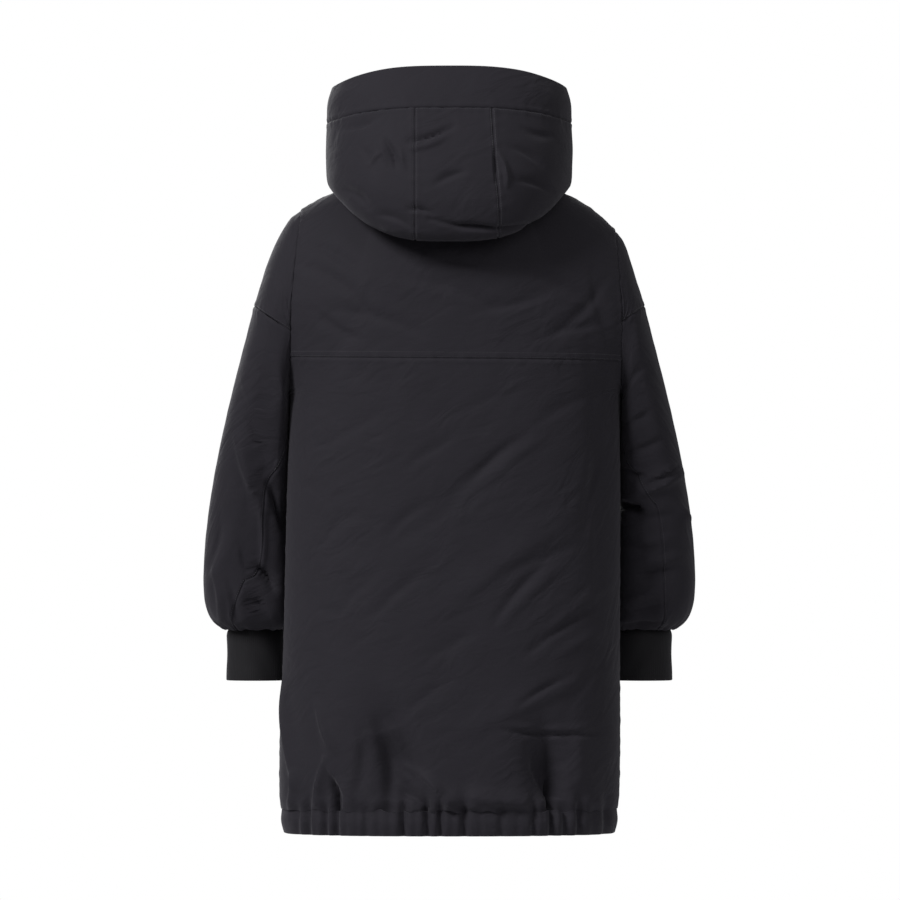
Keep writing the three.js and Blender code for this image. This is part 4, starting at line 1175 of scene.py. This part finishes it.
def woven_shell(colour, sheen):
    """Plain-woven, matte-finished synthetic shell cloth over a light filling.

    The eye sees an even near-black with a soft bloom where it turns away, a faint crossing of
    threads, and a shallow unevenness left by wear and folding.
    """
    material, tree, shader = new_material(
        "woven matte shell cloth",
        Roughness=0.8,
        IOR=1.46,
        Specular_IOR_Level=0.22,
        Sheen_Weight=sheen,
        Sheen_Roughness=0.5,
        Sheen_Tint=(0.78, 0.76, 0.84, 1),
    )
    place = add_node(tree, "ShaderNodeUVMap", uv_map="cloth")
    # Real threads are 0.3 mm apart, too fine to show, so they are drawn 1.3 mm apart.
    threads = [
        add_node(
            tree,
            "ShaderNodeTexWave",
            [(place, "UV", "Vector")],
            bands_direction=way,
            _Scale=1 / 0.0013 / (2 * math.pi),
            _Distortion=1.2,
            _Detail=1,
            _Detail_Scale=3,
        )
        for way in ("X", "Y")
    ]
    weave = add_node(
        tree,
        "ShaderNodeMath",
        [(threads[0], "Fac", 0), (threads[1], "Fac", 1)],
        operation="MULTIPLY",
    )
    # Crumples 62 mm long and 26 mm wide, in patches, and finer ones, all drawn out along a slant.
    crumples = []
    for turn, length, width in ((-30, 0.062, 0.026), (-6, 0.026, 0.012)):
        slant = add_node(
            tree,
            "ShaderNodeMapping",
            [(place, "UV", "Vector")],
            vector_type="TEXTURE",
            _Rotation=(0, 0, math.radians(turn)),
            _Scale=(length, width, 1),
        )
        crumples.append(
            add_node(
                tree,
                "ShaderNodeTexNoise",
                [(slant, "Vector", "Vector")],
                _Scale=1.0,
                _Detail=2,
                _Roughness=0.45,
                _Distortion=0.9,
            )
        )
    blotch = add_node(
        tree, "ShaderNodeTexNoise", [(place, "UV", "Vector")], _Scale=22, _Detail=3
    )
    tone = add_node(tree, "ShaderNodeMix", [(blotch, "Fac", "Factor")], data_type="RGBA")
    tone.inputs[6].default_value = solid(colour)
    tone.inputs[7].default_value = solid(colour, 1.16)
    tree.links.new(tone.outputs[2], shader.inputs["Base Color"])
    patches = add_node(
        tree, "ShaderNodeTexNoise", [(place, "UV", "Vector")], _Scale=9, _Detail=1
    )
    amount = add_node(
        tree,
        "ShaderNodeMapRange",
        [(patches, "Fac", "Value")],
        _From_Min=0.38,
        _From_Max=0.66,
        _To_Min=0.15,
        _To_Max=1.0,
    )
    creased = add_node(
        tree,
        "ShaderNodeBump",
        [(crumples[0], "Fac", "Height"), (amount, "Result", "Strength")],
        _Distance=0.0042,
    )
    finer = add_node(
        tree,
        "ShaderNodeBump",
        [(crumples[1], "Fac", "Height"), (creased, "Normal", "Normal")],
        _Strength=0.4,
        _Distance=0.0014,
    )
    bump = add_node(
        tree,
        "ShaderNodeBump",
        [(weave, "Value", "Height"), (finer, "Normal", "Normal")],
        _Strength=0.25,
        _Distance=0.00025,
    )
    tree.links.new(bump.outputs["Normal"], shader.inputs["Normal"])
    return material


def fine_knit(colour):
    """Fine double-knit rib of dyed synthetic yarn.

    The eye sees a smooth, deeper black than the shell, with very narrow upright ribs.
    """
    material, tree, shader = new_material(
        "fine rib knit",
        Roughness=0.78,
        IOR=1.5,
        Specular_IOR_Level=0.25,
        Sheen_Weight=0.12,
        Sheen_Roughness=0.5,
        Sheen_Tint=(0.8, 0.8, 0.86, 1),
    )
    shader.inputs["Base Color"].default_value = solid(colour)
    place = add_node(tree, "ShaderNodeUVMap", uv_map="cloth")
    # Ribs 1.5 mm apart, as close as they can be and still show.
    ribs = add_node(
        tree,
        "ShaderNodeTexWave",
        [(place, "UV", "Vector")],
        bands_direction="X",
        _Scale=1 / 0.0015 / (2 * math.pi),
        _Distortion=0.3,
    )
    stitches = add_node(
        tree, "ShaderNodeTexNoise", [(place, "UV", "Vector")], _Scale=700, _Detail=2
    )
    ribbed = add_node(
        tree,
        "ShaderNodeBump",
        [(ribs, "Fac", "Height")],
        _Strength=0.35,
        _Distance=0.0004,
    )
    bump = add_node(
        tree,
        "ShaderNodeBump",
        [(stitches, "Fac", "Height"), (ribbed, "Normal", "Normal")],
        _Strength=0.25,
        _Distance=0.0003,
    )
    tree.links.new(bump.outputs["Normal"], shader.inputs["Normal"])
    return material


def sewing_thread(colour):
    """Spun polyester sewing thread: a little lighter and shinier than the cloth it lies on."""
    material, tree, shader = new_material(
        "spun sewing thread", Roughness=0.5, IOR=1.5, Sheen_Weight=0.2
    )
    shader.inputs["Base Color"].default_value = solid(colour)
    place = add_node(tree, "ShaderNodeTexCoord")
    twist = add_node(
        tree, "ShaderNodeTexNoise", [(place, "Object", "Vector")], _Scale=1500, _Detail=1
    )
    bump = add_node(
        tree, "ShaderNodeBump", [(twist, "Fac", "Height")], _Strength=0.3, _Distance=0.0002
    )
    tree.links.new(bump.outputs["Normal"], shader.inputs["Normal"])
    return material


# What the operators have made, by name: the materials, and each piece's panel.
MATERIALS = {}
PANELS = {}


def dress(name, panel, finish, wrap=False):
    """Makes a panel's piece, gives it its finish, and keeps its panel."""
    piece = sewn_mesh(f"{name}_cloth", panel, wrap)
    piece.data.materials.append(MATERIALS[finish])
    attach(piece, "root")
    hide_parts(name)
    PANELS[name] = panel


def topstitch(name, rows):
    """Stitches rows of (panel, edge, place beside it) as one piece."""
    lines = [beside_edge(PANELS[panel], edge, place) for panel, edge, place in rows]
    piece = stitch_row(name, lines)
    piece.data.materials.append(MATERIALS["thread"])
    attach(piece, "root")


# The pieces of the coat.
def make_back():
    surface, out = body_surface(1), body_out(1)
    places, lower_down = grid("back_lower", (False, False), fine_down=(0, 0.22))
    yoke_down = grid("back_yoke")[1]
    across = 2 * places - 1
    seam = level_at(across, YOKE_SEAM - YOKE_DROP * (1 - across) / 2, 1)
    hem = hem_line(across, 1) / (UNDERARM - HEM_SEAM)
    lower = cut_panel(
        surface, out, lambda a, b: (2 * a - 1, mix(hem, seam, b)), (places, lower_down),
        body_relief(1, BACK_FOLDS, BACK_CREASES), edges="start end top",
    )
    yoke = cut_panel(
        surface, out, lambda a, b: (2 * a - 1, mix(seam, 3, b)), (places, yoke_down),
        body_relief(1, BACK_FOLDS, BACK_CREASES, YOKE_CREASES), edges="start end bottom top",
    )
    dress("back_lower", lower, "shell")
    dress("back_yoke", yoke, "shell")
    topstitch(
        "topstitching_yoke",
        [("back_yoke", "bottom", STITCH_PLACE), ("back_yoke", "bottom", TWIN_PLACE)],
    )


def make_front(sign, side):
    def at(a, b):
        across = sign * a
        return across, mix(hem_line(across, -1) / (UNDERARM - HEM_SEAM), 3, b)

    front = cut_panel(
        body_surface(-1), body_out(-1), at, grid("front", (True, False)),
        body_relief(-1, FRONT_FOLDS, FRONT_CREASES), edges="end top",
    )
    dress(f"front_{side}", front, "shell")


def make_casing(name, face, end):
    start = -end if face > 0 else 0.0
    gathers = BACK_GATHERS if face > 0 else FRONT_GATHERS

    def surface(across, drop):
        return body_ring(across, mix(HEM_SEAM, HEM_BOTTOM, drop), face)

    def out(across, drop):
        return unit(outward(surface, across, drop, face) * np.array([1, 1, 0]))

    def at(a, b):
        across = mix(start, end, a)
        top = -hem_line(across, face) / (HEM_SEAM - HEM_BOTTOM)
        return across, mix(top, 1, b)

    def relief(points, across, drop):
        x = points[..., 0]
        height = gather_height(gathers, x, np.full(x.shape, float(HEM_SEAM)))
        ruffle = sum(share * soft_waves(x, lean * drop, size) for share, lean, size in CASING_WAVES)
        swell = CASING_SWELL * np.sin(np.pi * np.clip(drop, 0, 1))
        return near_side(across) * (height + CASING_RUFFLE * ruffle) + swell - CASING_STEP

    places = grid("casing_back" if face > 0 else "casing_front", (False, False), (False, True))
    panel = cut_panel(surface, out, at, places, relief, rolls="top", thickness=CASING_CLOTH)
    dress(name, panel, "shell")


def make_flaps():
    levels, none = np.linspace(0, FLAP_TOP, FLAP_LEVELS), np.zeros(FLAP_LEVELS)

    def over(across):
        aside = smooth_body(across, levels, -1) - smooth_body(none, levels, -1)
        return aside[..., 0] - STORM_FLAP_WIDTH / 2

    edges = where_zero(over, none, none + 0.5)

    def at(a, b):
        level = FLAP_TOP * b
        return (2 * a - 1) * np.interp(level, levels, edges), level

    def hood_at(a, b):
        ring = mix(FLAP_HOOD_RING, HOOD_RIM_RING, b)
        return ring, np.pi + (2 * a - 1) * hood_angle(ring, STORM_FLAP_WIDTH / 2)

    flap = cut_panel(
        body_surface(-1), body_out(-1), at, grid("flap"),
        body_relief(-1, FRONT_FOLDS, FRONT_CREASES),
        rolls="start end top", thickness=FLAP_CLOTH, raised=FLAP_RISE,
    )
    hood_flap = cut_panel(
        hood_ring, hood_out, hood_at, grid("hood_flap"),
        rolls="start end top bottom", thickness=FLAP_CLOTH, raised=FLAP_RISE,
    )
    dress("storm_flap", flap, "shell")
    dress("storm_flap_hood", hood_flap, "shell")
    topstitch(
        "topstitching_flap",
        [
            (name, edge, FLAP_STITCH_PLACE)
            for name in ("storm_flap", "storm_flap_hood")
            for edge in ("start", "end")
        ],
    )


def make_sleeve(sign, side):
    end_down = SLEEVES[sign]["down"][-1]
    end_angle = cap_end(sign)
    relief = sleeve_relief(sign)

    def surface(down, angle):
        return sleeve_ring(sign, down, angle)

    def out(down, angle):
        inside = np.clip(down, DOWN_MARGIN, end_down - DOWN_MARGIN)
        return outward(surface, inside, angle, sign)

    def cap_at(a, b):
        angle = mix(-end_angle, end_angle, a)
        return cap_seam(sign, angle[:1]) * b, angle

    def front_seam(down):
        return seam_angle(sign, down, "front")

    def back_seam(down):
        return seam_angle(sign, down, side)

    def full_turn(down):
        return front_seam(down) + 2 * np.pi

    def between(start, end):
        def at(a, b):
            none = np.zeros(1)
            first = mix(start(none), end(none), a[:1])
            turned = np.arctan2(np.sin(first), np.cos(first))
            top = np.where(np.abs(turned) < end_angle, cap_seam(sign, turned), 0)
            down = mix(top, end_down, b)
            return down, mix(start(down), end(down), a)

        return at

    outer_places = grid("sleeve_outer", fine_across=(0.5, 1))
    for name, at, places, edges in (
        ("cap", cap_at, grid("sleeve_cap", (False, False)), "top bottom"),
        ("outer", between(front_seam, back_seam), outer_places, "start end top bottom"),
        ("under", between(back_seam, full_turn), grid("sleeve_under"), "start end top bottom"),
    ):
        panel = cut_panel(surface, out, at, places, relief, edges)
        dress(f"sleeve_{name}_{side}", panel, "shell")
    topstitch(
        f"topstitching_sleeve_{side}",
        [
            (f"sleeve_outer_{side}", "end", STITCH_PLACE),
            (f"sleeve_cap_{side}", "top", STITCH_PLACE),
            (f"sleeve_outer_{side}", "start", STITCH_PLACE),
        ],
    )


def make_cuff(sign, side):
    half = sign * CUFF_WIDTH / 2
    middle = sign * CUFF_OUTER_X - half

    def surface(angle, drop):
        return point(
            middle + half * np.cos(angle),
            CUFF_Y + CUFF_DEPTH * np.sin(angle),
            mix(CUFF_TOP + CUFF_HIDDEN, CUFF_BOTTOM, drop),
        )

    def out(angle, drop):
        return outward(surface, angle, drop, -sign)

    def relief(points, angle, drop):
        # Drawn in where the sleeve is sewn on, then a little slack, and firm at the fold.
        tucked = CUFF_TUCK * np.exp(-((drop / CUFF_TUCK_REACH) ** 2))
        slack = CUFF_SLACK * np.sin(np.pi * np.clip(drop, 0, 1)) ** 2
        beside = angle - CUFF_CREASE_PLACE - CUFF_CREASE_SLANT * drop
        crease = CUFF_CREASE * np.exp(-((beside / CUFF_CREASE_REACH) ** 2))
        return unevenness("cuff", angle * 40, drop * 66) - tucked - slack - crease - CUFF_SINK

    panel = cut_panel(
        surface, out, lambda a, b: (2 * np.pi * a, b),
        grid("cuff", (False, False), (False, True)),
        relief, rolls="top", thickness=CUFF_CLOTH,
    )
    dress(f"cuff_{side}", panel, "knit", wrap=True)


def make_hood():
    def left(ring):
        return hood_seam(ring, "left_seam")

    def right(ring):
        return -hood_seam(ring, "right_seam")

    def between(start, end):
        def at(a, b):
            ring = HOOD_BAND_RING * b
            return ring, mix(start(ring), end(ring), a)

        return at

    def band_at(a, b):
        return mix(HOOD_BAND_RING, HOOD_RIM_RING, b), mix(-np.pi, np.pi, a)

    def band_relief(points, ring, angle):
        share = (ring - HOOD_BAND_RING) / (HOOD_RIM_RING - HOOD_BAND_RING)
        swell = np.sin(np.pi * np.clip(share, 0, 1))
        return swell + unevenness("band", np.degrees(angle) * HOOD_DEGREE, points[..., 2])

    fine_down = (0.5, 1)
    side_places = grid("hood_side", (True, False), fine_across=(0, 0.4), fine_down=fine_down)
    for name, at, places, edges in (
        ("centre", between(right, left), grid("hood_centre", fine_down=fine_down), "start end top"),
        ("left", between(left, lambda ring: np.pi), side_places, "start top"),
        ("right", between(right, lambda ring: -np.pi), side_places, "start top"),
    ):
        panel = cut_panel(hood_ring, hood_out, at, places, hood_relief, edges)
        dress(f"hood_{name}", panel, "shell")
    band = cut_panel(
        hood_ring, hood_out, band_at, grid("hood_band", (False, False)),
        band_relief, edges="bottom", rolls="top", thickness=BAND_CLOTH,
    )
    dress("hood_band", band, "shell")
    topstitch(
        "topstitching_hood",
        [
            (name, edge, STITCH_PLACE)
            for name, edge in (
                ("hood_centre", "start"),
                ("hood_left", "start"),
                ("hood_centre", "end"),
                ("hood_right", "start"),
                ("hood_centre", "top"),
                ("hood_left", "top"),
                ("hood_right", "top"),
            )
        ],
    )


# The stage: camera first, then light and floor.
CAMERA_LENS = 400
CAMERA_AWAY = 13.53
CAMERA_X = -0.0009
CAMERA_Z = -0.3375
FLOOR_Z = -1.22
FLOOR_RADIUS = 1.4
FLOOR_THICKNESS = 0.02
FLOOR_COLOUR = "#c9c9cb"

# Each lamp's strength among the light's settings, its name, its size and its place.
LAMPS = (
    ("key", "soft key", 1.8, (3.6, 3.5, 3.1)),
    ("fill", "soft fill", 3.0, (-2.6, 4.2, 2.2)),
    ("front", "front light", 3.0, (1.0, -4.6, 1.4)),
)
LAMP_AIM = (0, 0, -0.35)


def add_lamp(name, size, watts, place):
    light = bpy.data.lights.new(name, "AREA")
    light.size = size
    light.energy = watts
    lamp = bpy.data.objects.new(name, light)
    lamp.location = place
    lamp.rotation_euler = (Vector(LAMP_AIM) - Vector(place)).to_track_quat("-Z", "Y").to_euler()
    bpy.context.scene.collection.objects.link(lamp)


def make_stage():
    camera = bpy.data.objects.new("camera", bpy.data.cameras.new("camera"))
    camera.data.lens = CAMERA_LENS
    camera.data.clip_end = 100
    camera.location = (CAMERA_X, CAMERA_AWAY, CAMERA_Z)
    camera.rotation_euler = (math.radians(90), 0, math.radians(180))
    bpy.context.scene.collection.objects.link(camera)
    bpy.context.scene.camera = camera

    bpy.ops.object.select_all(action="DESELECT")
    bpy.ops.mesh.primitive_cylinder_add(
        vertices=96,
        radius=FLOOR_RADIUS,
        depth=FLOOR_THICKNESS,
        location=(0, 0, FLOOR_Z - FLOOR_THICKNESS / 2),
    )
    floor = bpy.context.object
    floor.name = "floor"
    paint, _, shader = new_material("matte pale floor paint", Roughness=0.9)
    shader.inputs["Base Color"].default_value = solid(linear(FLOOR_COLOUR))
    floor.data.materials.append(paint)

    world = bpy.data.worlds.new("pale studio")
    world.use_nodes = True
    bpy.context.scene.world = world
    light = bpy.context.scene.parka_light
    tree = world.node_tree
    # The camera sees the white of the backdrop, and the cloth only the room's dimmer light.
    seen = add_node(tree, "ShaderNodeLightPath")
    strength = add_node(
        tree, "ShaderNodeMath", [(seen, "Is Camera Ray", 0)], operation="MULTIPLY_ADD"
    )
    strength.inputs[1].default_value = 1 - light.room
    strength.inputs[2].default_value = light.room
    background = tree.nodes["Background"]
    background.inputs["Color"].default_value = (1, 1, 1, 1)
    tree.links.new(strength.outputs["Value"], background.inputs["Strength"])
    bpy.context.scene.view_settings.view_transform = "Standard"

    for strength, name, size, place in LAMPS:
        add_lamp(name, size, getattr(light, strength), place)


class ParkaCloth(bpy.types.PropertyGroup):
    """Sizes of the cloth and its sewing."""

    thickness: FloatProperty(
        name="Shell cloth", description="Thickness of the shell cloth",
        default=0.0014, min=0.0005, max=0.003, unit="LENGTH",
    )
    groove: FloatProperty(
        name="Seam groove", description="How deep a seam sinks between its panels",
        default=0.001, min=0.0, max=0.003, unit="LENGTH",
    )
    stitch: FloatProperty(
        name="Stitch", description="From one stitch to the next",
        default=0.0034, min=0.002, max=0.006, unit="LENGTH",
    )


class ParkaColours(bpy.types.PropertyGroup):
    """Colours of the cloth and thread."""

    shell: FloatVectorProperty(
        name="Shell", description="Colour of the woven shell cloth",
        subtype="COLOR", default=linear("#252329"), min=0, max=1,
    )
    knit: FloatVectorProperty(
        name="Knit", description="Colour of the knit cuffs",
        subtype="COLOR", default=linear("#1a191c"), min=0, max=1,
    )
    thread: FloatVectorProperty(
        name="Thread", description="Colour of the sewing thread",
        subtype="COLOR", default=linear("#3b3a40"), min=0, max=1,
    )
    sheen: FloatProperty(
        name="Sheen", description="How much the shell cloth blooms where it turns away",
        default=0.1, min=0.0, max=1.0, subtype="FACTOR",
    )


class ParkaLight(bpy.types.PropertyGroup):
    """Strengths of the studio's lights."""

    key: FloatProperty(
        name="Key", description="Soft light from the upper left", default=272, min=0, unit="POWER"
    )
    fill: FloatProperty(
        name="Fill", description="Weak light from the right", default=50, min=0, unit="POWER"
    )
    front: FloatProperty(
        name="Front", description="Light on the far side", default=160, min=0, unit="POWER"
    )
    room: FloatProperty(name="Room", description="Light of the pale room", default=0.2, min=0)


class StageOperator(bpy.types.Operator):
    """Sets up the camera, the floor and the soft studio light"""

    bl_idname = "parka.make_stage"
    bl_label = "Stage"

    def execute(self, context):
        make_stage()
        colours = context.scene.parka_colours
        MATERIALS["shell"] = woven_shell(colours.shell, colours.sheen)
        MATERIALS["knit"] = fine_knit(colours.knit)
        MATERIALS["thread"] = sewing_thread(colours.thread)
        return {"FINISHED"}


class BackOperator(bpy.types.Operator):
    """Makes the lower back and the yoke, with the stitches over their seam"""

    bl_idname = "parka.make_back"
    bl_label = "Back"

    def execute(self, context):
        make_back()
        return {"FINISHED"}


class FrontsOperator(bpy.types.Operator):
    """Makes the two fronts"""

    bl_idname = "parka.make_fronts"
    bl_label = "Fronts"

    def execute(self, context):
        for sign, side in SIDES:
            make_front(sign, side)
        return {"FINISHED"}


class CasingsOperator(bpy.types.Operator):
    """Makes the gathered casing of the elastic hem"""

    bl_idname = "parka.make_casings"
    bl_label = "Hem casing"

    def execute(self, context):
        for name, face, end in CASINGS:
            make_casing(name, face, end)
        return {"FINISHED"}


class FlapsOperator(bpy.types.Operator):
    """Makes the storm flap over the closed front, and its part on the hood"""

    bl_idname = "parka.make_flaps"
    bl_label = "Storm flap"

    def execute(self, context):
        make_flaps()
        return {"FINISHED"}


class SleevesOperator(bpy.types.Operator):
    """Makes the caps and the two panels of each sleeve, with their stitches"""

    bl_idname = "parka.make_sleeves"
    bl_label = "Sleeves"

    def execute(self, context):
        for sign, side in SIDES:
            make_sleeve(sign, side)
        return {"FINISHED"}


class CuffsOperator(bpy.types.Operator):
    """Makes the knit cuffs"""

    bl_idname = "parka.make_cuffs"
    bl_label = "Cuffs"

    def execute(self, context):
        for sign, side in SIDES:
            make_cuff(sign, side)
        return {"FINISHED"}


class HoodOperator(bpy.types.Operator):
    """Makes the hood's centre, sides and band, with their stitches"""

    bl_idname = "parka.make_hood"
    bl_label = "Hood"

    def execute(self, context):
        make_hood()
        return {"FINISHED"}


PIECES = (
    StageOperator,
    BackOperator,
    FrontsOperator,
    CasingsOperator,
    HoodOperator,
    FlapsOperator,
    SleevesOperator,
    CuffsOperator,
)
GROUPS = (ParkaCloth, ParkaColours, ParkaLight)


class ParkaPanel(bpy.types.Panel):
    """Lists the coat's sizes, colours and pieces"""

    bl_idname = "VIEW3D_PT_parka"
    bl_label = "Parka"
    bl_space_type = "VIEW_3D"
    bl_region_type = "UI"
    bl_category = "Parka"

    def draw(self, context):
        scene = context.scene
        for group in (scene.parka_cloth, scene.parka_colours, scene.parka_light):
            for name in group.__annotations__:
                self.layout.prop(group, name)
        for operator in PIECES:
            self.layout.operator(operator.bl_idname)


def register():
    for kind in (*GROUPS, *PIECES, ParkaPanel):
        bpy.utils.register_class(kind)
    bpy.types.Scene.parka_cloth = PointerProperty(type=ParkaCloth)
    bpy.types.Scene.parka_colours = PointerProperty(type=ParkaColours)
    bpy.types.Scene.parka_light = PointerProperty(type=ParkaLight)


def unregister():
    del bpy.types.Scene.parka_light
    del bpy.types.Scene.parka_colours
    del bpy.types.Scene.parka_cloth
    for kind in (ParkaPanel, *reversed(PIECES), *reversed(GROUPS)):
        bpy.utils.unregister_class(kind)


def main():
    register()
    for operator in PIECES:
        group, name = operator.bl_idname.split(".")
        getattr(getattr(bpy.ops, group), name)()


if __name__ == "__main__":
    main()
